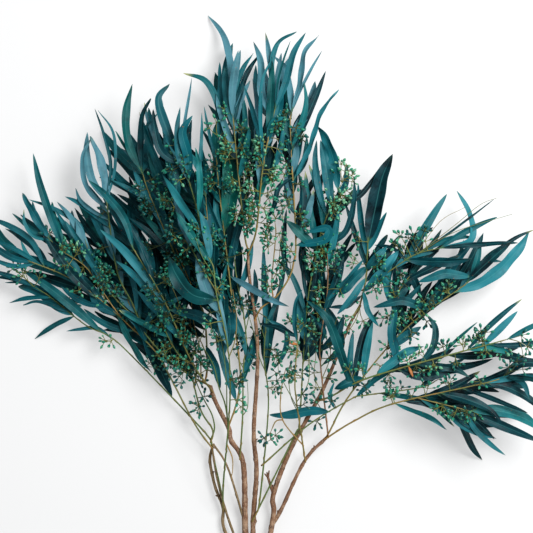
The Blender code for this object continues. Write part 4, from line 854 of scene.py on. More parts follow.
# How much painted shade the leaves underneath carry, and how much more on the shady sprays
UNDER_SHADE = (0.5, 0.95)
UNDER_SHADY = 1.25
HIDING_REACH = 0.75
# Leaves of each spray's rows that have fallen, by their number in the spray
FALLEN_LEAVES = {
    "spray_far_left_mid": (24, 27, 32, 33, 35),
    "spray_left_tall": (23, 24, 28, 29, 32, 33, 53),
    "spray_left_inner": (17, 29),
    "spray_left_upper": (40,),
    "spray_centre_left": (22, 31, 39, 53, 54, 55),
    "spray_top_left": (12,),
    "spray_top_right": (21, 23, 25, 29),
    "spray_centre_right": (21, 23, 34, 35),
    "spray_centre": (4, 5),
    "spray_fork_left": (14,),
    "spray_right_low": (24, 35),
    "spray_right_middle": (16, 19, 20, 21, 22, 23, 25, 26),
    "spray_right_inner": (23, 24, 37),
    "spray_right_far": (11, 13, 17, 19, 21),
}
# Leaves where many cross: blueness, greenness, paleness of the tip and darkness, then the tip, the
# bends and the base, then the full width
DRAWN_LEAVES = {
    "spray_right_middle": (
        ((1.0, 0.0, 0.1, 0.0), ((17.3, 36.9), (14.9, 33.6), (12.6, 31.2)), 1.2),
        ((0.9, 0.1, 0.1, 0.1), ((14.6, 26.8), (13.2, 28.6), (12.7, 31.4)), 0.7),
        ((0.1, 0.1, 0.0, 0.9), ((8.0, 29.3), (10.4, 29.4), (12.7, 30.8)), 0.6),
        ((0.8, 0.1, 0.0, 0.2), ((9.2, 28.4), (11.2, 30.6), (12.9, 33.2)), 0.9),
        ((0.4, 0.1, 0.0, 0.5), ((9.5, 30.8), (11.0, 32.6), (13.0, 34.6)), 1.2),
        ((0.6, 0.1, 0.0, 0.3), ((15.6, 37.2), (14.4, 35.8), (13.0, 34.2)), 1.1),
    ),
    "spray_right_inner": (
        ((0.2, 0.2, 0.0, 0.6), ((13.9, 29.3), (17.5, 30.2), (21.4, 29.0)), 1.1),
        ((0.5, 0.0, 0.0, 0.3), ((17.2, 21.5), (16.3, 25.6), (16.7, 29.9)), 1.2),
        ((0.2, 0.2, 0.0, 0.5), ((8.8, 18.7), (10.8, 19.6), (12.4, 20.2)), 1.2),
        ((0.7, 0.1, 0.0, 0.3), ((19.7, 32.6), (23.2, 33.7), (26.5, 33.3)), 1.2),
    ),
    "spray_far_left_low": (
        ((0.4, 0.3, 0.0, 0.4), ((-31.7, 34.2), (-28.1, 31.8), (-24.2, 28.6), (-21.2, 26.1)), 1.2),
    ),
    "spray_left_inner": (
        ((0.2, 0.1, 0.0, 0.5), ((-6.0, 18.8), (-6.6, 21.6), (-7.9, 24.3)), 1.0),
    ),
}
DRAWN_ARCH = (0.8, 1.6)
# Where the bends of a drooping or drawn leaf lie along it
LEAF_PARTS = [0.25, 0.5, 0.75, 1.0]
LEAF_FOLDS = (0.10, 0.38)
LEAF_WAVES = (0.04, 0.16)
LEAF_RIPPLES = (1.5, 3.5)
WIDER = 1.15
LEAF_ACROSS = 6
LEAF_ROWS = 26
LEAF_SKIN = 0.00045
STALK_WIDTH = 0.0012
LEAF_BELOW = 0.1110

# Leaves read one by one: the tip, the bends on the way, the base, then the full width
LEAVES = {
    "spray_far_left_low": (
        ((-36.5, 34.3), (-33, 33.2), (-30.4, 32.2), 0.7), ((-34, 32.5), (-30, 32.2), (-26.5, 29.6), 0.5),
        ((-32.2, 32), (-30, 31.7), (-27.5, 30), (-25, 28.2), 1.8),
        ((-31.6, 29.6), (-30, 30.1), (-27.3, 29.4), (-25.6, 28.6), 0.6),
        ((-30.1, 25.2), (-28, 26.7), (-25, 28.1), 0.7), ((-26, 26.2), (-22, 26.6), (-20, 25.4), 0.5),
        ((-35.4, 33.2), (-32, 32.9), (-29, 31.2), 0.6), ((-33.4, 29.9), (-30.6, 30.6), (-28, 30.5), 0.6),
    ),
    "spray_far_left_mid": (
        ((-36.8, 41), (-33, 39.8), (-31, 38.7), (-28.5, 35), 0.8),
        ((-36.3, 38.3), (-32.5, 36.8), (-29.5, 34.8), 0.6), ((-31.9, 37.9), (-31, 36), (-29, 34.6), 0.6),
        ((-36.5, 38), (-33.3, 35.8), (-30.5, 35.1), 0.9), ((-36.5, 36.4), (-33.5, 34.7), (-30, 34.9), 0.6),
        ((-29.5, 40), (-26, 34.5), (-22, 30.5), 1.3), ((-14.9, 20.8), (-17, 23.7), (-19.5, 28.4), 0.9),
        ((-30.3, 49.3), (-29, 43.5), (-28, 41), (-26.2, 36.6), 1),
        ((-30.9, 43.3), (-28, 42.2), (-24.8, 41), (-22.6, 34), 0.7),
        ((-30.4, 43.1), (-29.8, 40.5), (-28, 37.6), 0.8), ((-31.5, 42), (-31, 39), (-28, 37.9), 0.5),
        ((-27.5, 42), (-25, 38), (-23.9, 35), 0.7), ((-25, 40), (-22.5, 35.5), (-21.4, 31.6), 0.9),
        ((-33, 41.5), (-29.4, 38.6), (-25.4, 35.8), 0.8),
        ((-28.4, 36.4), (-24.6, 33.8), (-20.4, 29.4), 0.9),
    ),
    "spray_left_tall": (
        ((-26.2, 43.7), (-23.5, 42.3), (-20.2, 39.6), 0.7),
        ((-24.8, 44.8), (-23.8, 42.8), (-20.3, 40.6), 0.6),
        ((-23.7, 45.6), (-22, 43.6), (-20.5, 41.5), 0.6), ((-23.5, 42.5), (-21.5, 39.5), (-19.6, 35), 1.1),
        ((-22.9, 51.5), (-21.3, 47.5), (-20.6, 42.5), 1.2),
        ((-22.8, 51.3), (-24, 47.5), (-22.6, 43.6), (-20.6, 41.9), 0.7),
        ((-22.3, 55.1), (-21.2, 52), (-20.2, 47.5), (-20.8, 43.4), 0.45),
        ((-21.9, 54.9), (-19.4, 50.3), (-20.6, 43), 0.4),
        ((-12.3, 17.8), (-13.5, 20.5), (-16.5, 26.8), 1.7),
        ((-18.7, 41.9), (-17.6, 38), (-16.8, 34), (-16.6, 27.2), 1),
        ((-12.9, 35.6), (-14.3, 32.5), (-15.6, 25.8), 0.6),
        ((-10.6, 30.8), (-12.4, 29.9), (-14.5, 28.6), (-16.2, 26.6), 0.9),
        ((-27.2, 43), (-24.6, 39.8), (-22.4, 35), 0.8), ((-26.2, 40.6), (-23.8, 37), (-20.6, 31.6), 0.9),
    ),
    "spray_left_inner": (
        ((-19.6, 52.2), (-18.8, 50.8), (-16.2, 46.6), 0.5),
        ((-17.4, 58.3), (-17.9, 56.5), (-18.4, 52), (-16.3, 46.8), 1.2),
        ((-20.2, 45.9), (-18.9, 45.1), (-15, 43.2), 0.7), ((-15, 56.4), (-16.2, 53.5), (-16.1, 47), 0.9),
        ((-14, 54.6), (-16.8, 50.5), (-15.9, 45.8), 0.6), ((-16.5, 54.6), (-15, 50), (-12.5, 44.2), 0.9),
        ((-17, 46), (-14, 42), (-12, 36.8), 1.5), ((-16.2, 41.3), (-12.5, 37.5), (-10.6, 33.4), 1.1),
        ((-18, 41), (-14, 37.6), (-9.6, 31.2), 1.2), ((-13.4, 52), (-12.8, 48.4), (-12.4, 44.2), 0.7),
    ),
    "spray_left_mass": (
        ((-20.6, 42.4), (-17.4, 38.4), (-14.4, 32.4), 1.1),
        ((-21.6, 39.4), (-17.4, 35.6), (-13, 29.6), 1.2), ((-19.6, 35.4), (-16, 32.4), (-12, 27.4), 1.1),
        ((-17.2, 31.8), (-13.8, 28.4), (-10.8, 24.8), 1), ((-5.6, 22.8), (-6.2, 27), (-7.4, 31.5), 1.5),
    ),
    "spray_left_upper": (
        ((-13.5, 46.5), (-11.5, 43.5), (-8.4, 38.4), 1),
        ((-12.6, 58.3), (-13.9, 58), (-14.1, 56.5), (-13.4, 53.5), (-11.4, 48.8), 1.2),
        ((-14.7, 55), (-14, 50), (-11, 47.6), 1), ((-9.7, 59.1), (-10, 57), (-11.3, 49), 0.4),
        ((-9.6, 54.2), (-10.9, 52.3), (-10.2, 49), (-10, 45.6), 1.2),
        ((-8.4, 54.6), (-8.5, 50), (-9.3, 42.6), 0.5), ((-12.7, 36), (-10.5, 31.5), (-6.4, 30.2), 2),
        ((-9, 36.4), (-8, 32), (-5.8, 28.4), 1.5), ((-11.8, 41.8), (-9.6, 38.4), (-7.1, 35), 1),
        ((-9.2, 50), (-8.6, 46), (-8.8, 41.4), 0.8),
    ),
    "spray_centre_left": (
        ((-8.1, 55.4), (-7.4, 51.6), (-6.3, 48), 0.4),
        ((-10.8, 59.7), (-7.7, 58.5), (-5.9, 54), (-6.2, 50.8), 0.9),
        ((-6.1, 61.1), (-6, 58), (-6.2, 51), 0.8), ((-5.9, 50.5), (-4.6, 46), (-5.5, 39), 2.1),
        ((-5.2, 22.2), (-6.3, 28), (-5.4, 35.4), 0.7), ((-6.6, 26), (-5.6, 22.4), (-3.9, 17), 1.1),
        ((-4.8, 29.8), (-2.8, 24.4), (-2.4, 21), (-3.5, 18.4), 0.8),
        ((2.9, 29.4), (0, 30.6), (-2, 31.8), (-4.8, 33.4), 0.9), ((-8.4, 50), (-7.4, 46), (-6, 42.6), 0.9),
        ((-2.6, 44), (-3.6, 40), (-5, 35), 0.9), ((-2.6, 22.9), (-3.4, 26), (-5, 29.6), 1),
    ),
    "spray_inner_olive": (
        ((-5.5, 30), (-4, 31.2), (-2.9, 28.4), 0.6), ((-7.6, 40), (-6, 36.6), (-4, 34), 0.9),
        ((-1.8, 38), (-2.4, 34.6), (-3.6, 31.6), 0.8),
    ),
    "spray_green_low": (
        ((-17.8, 34.4), (-15, 31), (-11.6, 26.4), 1.1), ((-14.8, 36.4), (-14, 32.8), (-12.3, 29.4), 1),
        ((-12.6, 37.4), (-12.2, 34), (-12.4, 29.8), 0.9),
    ),
    "spray_top_left": (
        ((-7.6, 67.2), (-6.3, 65.5), (-5.2, 63.7), (-4.6, 60), (-4.6, 56), 0.9),
        ((-3.4, 62.7), (-4.1, 59), (-4.5, 55.8), 0.8), ((-1.7, 62.3), (-3.5, 59.5), (-4.3, 54.8), 0.7),
        ((-0.7, 62.3), (-3, 58.8), (-4, 53), 0.8),
        ((-1.8, 59), (-1.2, 54.5), (-1.6, 50), (-3.5, 46.4), 0.6),
        ((-6.6, 57), (-5.6, 53.4), (-3.7, 49.2), 0.8), ((-5.4, 60.4), (-5.4, 56.8), (-4, 52.4), 0.7),
    ),
    "spray_top_middle": (
        ((-1.7, 63.8), (-0.7, 61.5), (-0.8, 58), (0.9, 53.6), 1),
        ((-0.15, 65), (0.4, 62), (1.2, 55.4), 0.8),
        ((3.9, 65.1), (2, 64.2), (0.5, 61.5), (1.3, 55.8), 0.7),
        ((5.1, 65), (3.3, 61.8), (2.5, 58.5), (1.1, 54.8), 0.9),
        ((0.9, 62), (-0.8, 57.4), (-0.4, 47.6), 0.5), ((0.8, 61.3), (0.6, 57), (0.3, 51), 1),
        ((3.1, 63.9), (1.6, 59.3), (1.2, 55.2), 0.3), ((2.8, 53.8), (1.4, 54.4), (0.3, 50.8), 0.9),
        ((1.3, 45.8), (-0.2, 46.2), (-0.9, 43.4), 1.1), ((-1.4, 53), (-1.2, 50), (-0.8, 44.4), 0.8),
        ((-2.9, 58), (-1.6, 54.4), (-0.2, 48.8), 0.7),
    ),
    "spray_top_right": (
        ((6.8, 64.6), (5.15, 63.3), (4.8, 60), (3.2, 54.6), 0.8),
        ((7.2, 62.6), (5, 58.8), (3.3, 54.8), 0.4), ((0.9, 62), (2.7, 59.5), (3.3, 54.4), 0.9),
        ((7.7, 60), (6.3, 56.5), (3.2, 49.5), 0.9),
        ((9.4, 57.6), (7.2, 54.8), (5.6, 50), (3.3, 45.6), 0.7), ((4.9, 58.5), (5, 54.6), (3.2, 50), 0.8),
        ((1.1, 52.9), (2.4, 51.6), (3.2, 48.6), 0.7),
        ((0.1, 40.8), (1.2, 43), (1.8, 45.4), (3.3, 46.2), 0.7),
        ((4.2, 46.6), (4.8, 43), (3.6, 39.8), 1.1), ((2.6, 42), (2.2, 37), (2.9, 33), 0.7),
        ((5, 39), (7, 39.8), (9.4, 38.6), (9.8, 36.8), 1.1),
    ),
    "spray_centre_right": (
        ((6.5, 53), (8.5, 49.5), (9.2, 44.4), 1.4), ((5, 47), (5.5, 42.5), (6.5, 37), 0.9),
        ((5.5, 47.8), (7, 43.5), (7.3, 39.6), 0.9), ((6.5, 51), (6.4, 46.5), (7.8, 41), 0.9),
        ((7, 51), (7.7, 47.6), (8.3, 42.4), 1.3), ((2.5, 40.6), (4.6, 38.7), (6.8, 36.7), 1.3),
        ((9.3, 37.2), (8.4, 38.6), (6.7, 37.4), 0.8), ((4.9, 38.2), (4.6, 34.5), (5.3, 30), 0.6),
        ((6, 38.4), (6.6, 33.6), (5.2, 28.8), 0.8), ((1.2, 35.6), (3.6, 33), (5.1, 28), 0.7),
        ((11.4, 46), (11.2, 41.5), (10, 38.8), (6.6, 36.8), 0.8),
        ((15, 47.8), (12.2, 43.8), (8.6, 42.7), 0.7),
    ),
    "spray_centre": (
        ((0.1, 31.4), (0.3, 26.6), (-0.2, 21.4), 1.3), ((1, 21.3), (2.4, 23.6), (2.7, 26), (0, 27.8), 0.7),
        ((-0.4, 37.3), (-0.3, 32.4), (-0.1, 26.4), 0.8), ((2.4, 35.6), (1.8, 31.6), (-0.1, 27), 0.6),
    ),
    "spray_crossing_low": (
        ((0.4, 15.35), (4.5, 15.4), (6.2, 16.2), (8.2, 15.9), 1.3),
        ((8.8, 19.6), (8.2, 17.6), (8.8, 16.2), 0.5), ((23.6, 16.4), (20, 17.4), (14.6, 18.1), 0.7),
        ((18.4, 22), (15, 20.6), (11.4, 17.7), 0.8), ((25.6, 22.6), (23, 21.2), (19.8, 19), 0.9),
    ),
    "spray_e_buds": (
        ((4.6, 31.6), (3.6, 28.8), (4, 24.6), 0.6), ((-0.9, 27.2), (2, 26.5), (4.1, 25.4), 0.8),
    ),
    "spray_fork_left": (
        ((10, 35.9), (9, 32.4), (7.4, 28.4), 1.2), ((5.6, 28.5), (7.3, 26.4), (8.3, 26.3), (7, 24.6), 0.5),
        ((5.2, 30.6), (8.6, 28), (9.7, 23), (7, 21.6), 1), ((9.4, 42), (8.8, 38.4), (7.9, 34.4), 0.9),
        ((12.6, 35.6), (10.6, 33), (7.7, 30), 0.7),
    ),
    "spray_right_low": (
        ((37, 20.8), (34, 22.4), (30.8, 20.3), 1.3), ((37.5, 19.8), (33, 20.3), (28.4, 19.5), 0.9),
        ((36, 15.8), (32.6, 18.4), (28.6, 19.4), 1.2), ((34.2, 17.4), (33.4, 19.4), (31, 20.3), 0.7),
        ((33.9, 15.6), (29, 17.6), (25.4, 18.8), 0.7), ((36, 13), (32, 15.6), (26.4, 15.9), 1.6),
        ((35.5, 11.9), (30, 14.2), (25.4, 16), 1.2), ((30.4, 14.6), (27.6, 16.8), (22.6, 18.2), 1.1),
        ((29.4, 11.4), (27, 13.4), (22.4, 16.7), 0.8), ((28, 9.5), (26.6, 11.4), (24.6, 16.2), 1),
        ((31, 10.1), (27.6, 12.8), (25.6, 16), 0.7), ((24.4, 13.8), (22.8, 15.4), (19.8, 17.6), 0.5),
        ((23.4, 13.4), (21.4, 14.9), (16.6, 16.8), 0.7),
    ),
    "spray_right_middle": (
        ((16.4, 49.2), (15.5, 48), (14.9, 45.5), (14.1, 42), (13.2, 37.6), 2.2),
        ((11.9, 45.4), (12.2, 41.5), (13.1, 35.6), 0.8), ((10.2, 42.9), (11.3, 39.5), (12.9, 34.4), 0.7),
        ((15.6, 41.6), (14.6, 39.6), (13.2, 36.6), 0.9), ((17.2, 38.6), (15.4, 35.8), (13, 32.4), 1),
        ((23.4, 44), (21, 40.3), (18, 35.8), 1.1),
        ((24.7, 44.4), (26.6, 41), (27.2, 38.4), (22.4, 36.8), 0.9),
        ((29.5, 43.3), (24.6, 39.6), (20, 36.8), 0.3), ((26.9, 38.4), (23.6, 38.2), (19.8, 36.7), 0.8),
        ((32.6, 37.7), (27.9, 37.5), (22.4, 37.3), 0.7), ((26.7, 35.6), (23, 35.2), (18.2, 35.2), 1.3),
        ((14, 37.4), (16.4, 37), (18, 35.7), 0.5),
    ),
    "spray_right_inner": (
        ((14.6, 28.9), (12.5, 25.5), (11, 18.6), 1), ((13.8, 27.4), (13, 24), (12.4, 20.2), 1),
        ((16.8, 21.9), (16.6, 24.2), (16, 26.6), 1.2), ((18.2, 31), (17.6, 28.2), (17, 25.6), 0.9),
        ((20, 30.6), (18.6, 33.4), (17.4, 31.8), 1.1), ((17.4, 37.6), (16.9, 34.6), (16.6, 29.6), 1.1),
        ((34.2, 39.2), (31, 34.8), (27, 32), (24.4, 31.1), 1.6),
        ((34.8, 39.4), (31, 37.5), (26.9, 33.6), 0.6), ((30.5, 35.3), (27.6, 34.9), (25, 31.7), 0.8),
        ((24.7, 34), (22.3, 31.4), (20, 28), 0.9), ((26.7, 37.5), (23.4, 33.8), (21.4, 29.2), 1.2),
        ((25, 36), (21.8, 34.6), (18, 32.8), 1), ((27.8, 37.6), (27.4, 35.6), (26.6, 33.2), 0.8),
        ((17.6, 37), (15.4, 33.6), (16.4, 29.2), 1.2),
    ),
    "spray_right_far": (
        ((36.5, 25.3), (33, 24.4), (29, 24.4), 0.7), ((20.8, 28.4), (22.2, 25.4), (19.9, 22.1), 0.9),
        ((27.4, 27.4), (24.6, 25), (22.4, 22.8), 0.4), ((20.4, 24.2), (18, 23.4), (14.2, 20.5), 1.2),
        ((33.2, 30.4), (29.4, 27.4), (26, 23.7), 0.7), ((32.6, 28.8), (30.6, 26.8), (28, 24.2), 0.9),
        ((36.5, 27.7), (34, 26.6), (31.2, 25.2), 0.7), ((26.4, 20.2), (24, 21.4), (19.4, 22), 0.9),
        ((11.2, 26), (10.8, 22.6), (10.4, 18.9), 0.9),
        ((5.1, 30.3), (7.6, 28.2), (9.2, 24.6), (10.2, 20.6), 1.2),
    ),
}
# Rows of leaves that follow a rule: twig, count, heading and its spread, shortest and longest
RULED_LEAVES = {
    "spray_far_left_low": (),
    "spray_far_left_mid": ((0, 8, 144, 18, 5.5, 9), (1, 5, 128, 20, 5, 8)),
    "spray_left_tall": ((0, 9, 122, 18, 7, 11), (1, 7, 128, 20, 5, 9)),
    "spray_left_inner": ((0, 8, 124, 16, 7, 11.5), (1, 7, 118, 20, 6, 10)),
    "spray_left_mass": ((0, 9, 130, 20, 7.5, 12), (1, 5, 132, 24, 5, 9)),
    "spray_left_upper": ((0, 10, 112, 18, 6.5, 10.5), (1, 6, 122, 22, 6, 9.5)),
    "spray_centre_left": ((0, 10, 100, 20, 6, 10), (1, 7, 116, 18, 6, 10)),
    "spray_inner_olive": ((0, 5, 96, 24, 5, 8),),
    "spray_green_low": ((0, 6, 124, 22, 5, 9),),
    "spray_top_left": ((0, 6, 96, 22, 6, 9),),
    "spray_top_middle": ((0, 5, 88, 20, 6, 9),),
    "spray_top_right": ((0, 6, 84, 20, 5.5, 8.5),),
    "spray_centre_right": ((0, 5, 78, 22, 5, 8),),
    "spray_centre": (),
    "spray_crossing_low": (),
    "spray_e_buds": (),
    "spray_fork_left": ((0, 4, 74, 24, 5, 7.5),),
    "spray_right_low": ((0, 5, 4, 22, 5.5, 8.5), (1, 4, -24, 20, 5, 8)),
    "spray_right_middle": ((0, 4, 72, 26, 5, 8), (1, 5, 36, 18, 5, 8.5)),
    "spray_right_inner": ((0, 5, 52, 20, 5, 8), (1, 4, 60, 24, 5, 8)),
    "spray_right_far": ((0, 4, 14, 26, 5, 8),),
}

RESTING_LEAVES = (
    ("spray_far_left_low", 4),
    ("spray_right_low", 9),
    ("spray_top_left", 0),
    ("spray_left_tall", 8),
    ("spray_crossing_low", 2),
)
UPPER_LEAVES = (
    ("spray_centre_right", 5),
    ("spray_top_right", 10),
    ("spray_top_middle", 4),
    ("spray_left_tall", 11),
    ("spray_centre_left", 7),
    ("spray_right_far", 9),
)


def blade(root, points, widths, rolls, extra=0.0):
    """A thin closed blade from a pointed root, both faces split into triangles alike."""
    outward = (points[0] - root).normalized()
    neck = root + outward * ROOT_REACH
    route = [neck] + points
    wide = [ROOT_WIDTH] + widths
    thick = [ROOT_THICKNESS] + [BLADE_THICKNESS] * len(points)
    turns = [0.0] + rolls
    verts = [root - outward * ROOT_SINK]
    for i, point in enumerate(route):
        along = (route[min(i + 1, len(route) - 1)] - route[max(i - 1, 0)]).normalized()
        side = Matrix.Rotation(turns[i], 3, along) @ along.cross(Vector((0, 0, 1))).normalized()
        up = along.cross(side)
        for across, over in ((-1, -1), (1, -1), (1, 1), (-1, 1)):
            verts.append(point + side * across * (wide[i] / 2 + extra) + up * over * (thick[i] / 2 + extra))
    faces = [(0, 2, 1), (0, 3, 2), (0, 4, 3), (0, 1, 4)]
    for i in range(1, len(verts) - 4, 4):
        faces += [(i, i + 1, i + 5), (i, i + 5, i + 4), (i + 3, i + 7, i + 6), (i + 3, i + 6, i + 2)]
        faces += [(i + 1, i + 2, i + 6), (i + 1, i + 6, i + 5), (i, i + 4, i + 7), (i, i + 7, i + 3)]
    last = len(verts) - 4
    faces += [(last, last + 1, last + 2), (last, last + 2, last + 3)]
    return verts, faces


def grow_leaf(node, own_ways, plan, width, draw, resting=False, arch=LEAF_ARCH):
    """A leaf sunk into the nearest twig of its spray, at a height where it is clear."""
    _, place, root, _ = closest_joint(own_ways, plan[-1])
    points = [place] + [Vector(p) for p in reversed(plan[:-1])]
    curve = smooth_route(points, CURVE_STEPS)
    shares, length = travelled(curve)
    profile = BLADE
    if length > LONG_BLADE_LENGTH:
        profile = LONG_BLADE
    if length < SHORT_BLADE_LENGTH or len(plan) < 3:
        profile = SHORT_BLADE
    spots = [at_share(curve, shares, share) for share, _ in profile]
    widths = [max(part * width * CM, TIP_WIDTH) for _, part in profile]
    others = [solid for solid in placed if solid.node != node]
    fellows = [solid for solid in placed if solid.node == node and solid.is_leaf]
    start = seen_from_above(place.x, place.y, root)
    best = None
    for attempt in range(LEAF_TRIES):
        tilt = math.radians(LEAF_TILTS[0] + LEAF_TILTS[1] * attempt / LEAF_TRIES)
        middle = root + length / 2 * math.tan(draw.uniform(-tilt, tilt) + arch[0])
        end = root + length * math.tan(draw.uniform(-tilt, tilt) + arch[1])
        roll = draw.uniform(-LEAF_ROLL, LEAF_ROLL)
        twist = draw.uniform(-LEAF_TWIST, LEAF_TWIST)
        middle = min(max(middle, LEAF_LOWEST[0]), HIGHEST)
        end = min(max(end, LEAF_LOWEST[1]), HIGHEST)
        if resting:
            end = 0
            middle = root * 0.5
        stations = []
        rolls = []
        for (share, _), spot, wide in zip(profile, spots, widths):
            height = root * (1 - share) ** 2 + middle * 2 * share * (1 - share) + end * share ** 2
            turn = roll + twist * (share - 0.5)
            least = (abs(math.sin(turn)) * wide + BLADE_THICKNESS) / 2 / CM + LEAF_OVER_SURFACE
            stations.append(seen_from_above(spot.x, spot.y, max(height, least)))
            rolls.append(turn)
        trial = Solid(node, *blade(start, stations, widths, rolls, CLEARANCE))
        if not is_clear(trial, others):
            continue
        leaf = Solid(node, *blade(start, stations, widths, rolls), is_leaf=True)
        leaf.route = (start, stations, rolls, [share for share, _ in profile], width, plan[0])
        met = sum(leaf.crosses(fellow) for fellow in fellows)
        if best is None or met < best[0]:
            best = (met, leaf)
        if met == 0 or attempt > LEAF_TRIES / 2 and met == 1:
            break
    return best[1] if best else None


def ruled_leaves(way, count, heading, spread, shortest, longest, draw):
    """Plans of leaves set alternately along the upper part of a twig."""
    shares, _ = travelled(way.points)
    plans = []
    for k in range(count):
        share = ROW_START + ROW_SHARE * (k + draw.uniform(-ROW_PLAY, ROW_PLAY)) / max(count - 1, 1)
        base = at_share(way.points, shares, max(ROW_ENDS[0], min(share, ROW_ENDS[1])))
        side = 1 if k % 2 else -1
        turn = math.radians(heading + side * draw.uniform(ROW_LEAST_SPREAD, 1) * spread)
        length = draw.uniform(shortest, longest)
        sweep = math.radians(draw.uniform(-ROW_SWEEP, ROW_SWEEP))
        middle = base + 0.5 * length * Vector((math.cos(turn + sweep), math.sin(turn + sweep)))
        tip = base + length * Vector((math.cos(turn), math.sin(turn)))
        plans.append((tuple(tip), tuple(middle), tuple(base), draw.uniform(*ROW_WIDTHS)))
    return plans


def grow_leaves(name, own_ways, leaves):
    """The leaves of one spray whose places are given."""
    for number, leaf_plan in enumerate(leaves):
        draw = random.Random(f"{name} leaf {number}")
        resting = (name, number) in RESTING_LEAVES
        arch = UPPER_ARCH if (name, number) in UPPER_LEAVES else LEAF_ARCH
        keep(grow_leaf(name, own_ways, leaf_plan[:-1], leaf_plan[-1], draw, resting, arch))


def grow_ruled_leaves(name, own_ways, ruled, first):
    """The leaves of one spray that follow a rule: the first ones, or the rest between them."""
    for row, (twig_number, count, *rule) in enumerate(ruled):
        way = own_ways[twig_number]
        plans = ruled_leaves(way, count, *rule, random.Random(f"{name} row {row}"))
        for number in range(count):
            if (number % RULED_BUILT_EVERY == 0) != first:
                continue
            draw = random.Random(f"{name} row {row} leaf {number}")
            keep(grow_leaf(name, own_ways, plans[number][:-1], plans[number][-1], draw))


def flat_blade(across, rows):
    """The blade that all leaves are copied from: x across from -0.5 to 0.5, y along from 0 to 1."""
    bpy.ops.object.select_all(action="DESELECT")
    bpy.ops.mesh.primitive_grid_add(x_subdivisions=across, y_subdivisions=rows, size=1)
    blank = bpy.context.active_object
    skin = blank.modifiers.new("skin", "SOLIDIFY")
    skin.thickness = 0.01
    skin.offset = 0
    bpy.ops.object.modifier_apply(modifier="skin")
    bpy.ops.object.mode_set(mode="EDIT")
    bpy.ops.mesh.select_all(action="SELECT")
    bpy.ops.transform.translate(value=(0, 0.5, 0))
    bpy.ops.mesh.normals_make_consistent(inside=False)
    bpy.ops.object.mode_set(mode="OBJECT")
    verts = np.array([tuple(v.co) for v in blank.data.vertices])
    faces = [tuple(face.vertices) for face in blank.data.polygons]
    bpy.data.objects.remove(blank, do_unlink=True)
    return verts, faces


def leaf_width(share):
    """A willow leaf's width along its length: a narrow stalk, fullest before its middle, a long tip."""
    blade_share = np.clip((share - 0.03) / 0.97, 0, 1)
    return blade_share ** 0.58 * (1 - blade_share) ** 0.72 / 0.412


def seen_spine(route, count):
    """A leaf's spine as the camera sees it: places on the surface in metres, then the heights."""
    curve = np.array([tuple(p) for p in smooth_route([route[0]] + route[1], 4)])
    picked = curve[np.linspace(0, len(curve) - 1, count).round().astype(int)]
    reach = VIEW_HEIGHT * CM / (VIEW_HEIGHT * CM - picked[:, 2:])
    foot = (np.array(VIEW_FOOT) - np.array(PLAN_ORIGIN)) * CM
    return foot + (picked[:, :2] - foot) * reach, picked[:, 2]


def hides(upper, lower):
    """Whether one leaf lies over the blade of another, seen from above."""
    places, heights = seen_spine(upper.route, 12)
    others, other_heights = seen_spine(lower.route, 12)
    others = others[2:-1]
    gaps = np.linalg.norm(places[:, None] - others[None], axis=2)
    near = gaps < (upper.route[4] + lower.route[4]) / 2 * CM * HIDING_REACH
    return (near & (heights[:, None] > other_heights[None, 2:-1])).sum() > 0


def tuck_under(leaf, draw):
    """The same leaf, drooping under the others from where it leaves its twig."""
    root, stations, _, _, width, tip = leaf.route
    places, _ = seen_spine((root, stations), 5)
    low = draw.uniform(*UNDER_HEIGHT)
    high = root.z / CM
    spots = places[1:] / CM + np.array(PLAN_ORIGIN)
    fall = min(low, high) - high
    drooping = [seen_from_above(*spot, high + fall * part ** 0.5) for spot, part in zip(spots, LEAF_PARTS)]
    roll = draw.uniform(-0.5, 0.5)
    leaf.route = (root, drooping, [roll] * 4, LEAF_PARTS, width, tip)
    # Its new low height gives it more painted shade when its look is drawn
    leaf.high = (0, 0, low * CM)


def under_leaf(way, share, heading, draw):
    """The way of a shaded leaf that droops from its twig."""
    shares, _ = travelled(way.points)
    base = at_share(way.points, shares, share)
    _, place, height, _ = way.nearest(*base)
    length = draw.uniform(*UNDER_LENGTH)
    bend = draw.uniform(-0.3, 0.3)
    low = draw.uniform(*UNDER_HEIGHT)
    stations = []
    for part in (0.25, 0.5, 0.75, 1.0):
        turn = heading + bend * (part - 0.5)
        spot = place + part * length * Vector((math.cos(turn), math.sin(turn)))
        stations.append(seen_from_above(spot.x, spot.y, height + (min(low, height) - height) * part ** 0.7))
    roll = draw.uniform(-0.6, 0.6)
    rolls = [roll, roll, roll + draw.uniform(-0.3, 0.3), roll]
    root = seen_from_above(place.x, place.y, height)
    return root, stations, rolls, LEAF_PARTS, draw.uniform(*UNDER_WIDTH), tuple(spot)


def drawn_leaf(own_ways, plan, width, draw):
    """The way of a leaf that is drawn by its plan and arches over its neighbours."""
    _, place, height, _ = closest_joint(own_ways, plan[-1])
    points = [place] + [Vector(spot) for spot in reversed(plan[:-1])]
    shares, _ = travelled(points)
    arch = draw.uniform(*DRAWN_ARCH)
    stations = []
    for part in (0.25, 0.5, 0.75, 1.0):
        spot = at_share(points, shares, part)
        stations.append(seen_from_above(spot.x, spot.y, height + arch * math.sin(2.6 * part)))
    roll = draw.uniform(-0.4, 0.4)
    root = seen_from_above(place.x, place.y, height)
    return root, stations, [roll] * 4, LEAF_PARTS, width, plan[0]


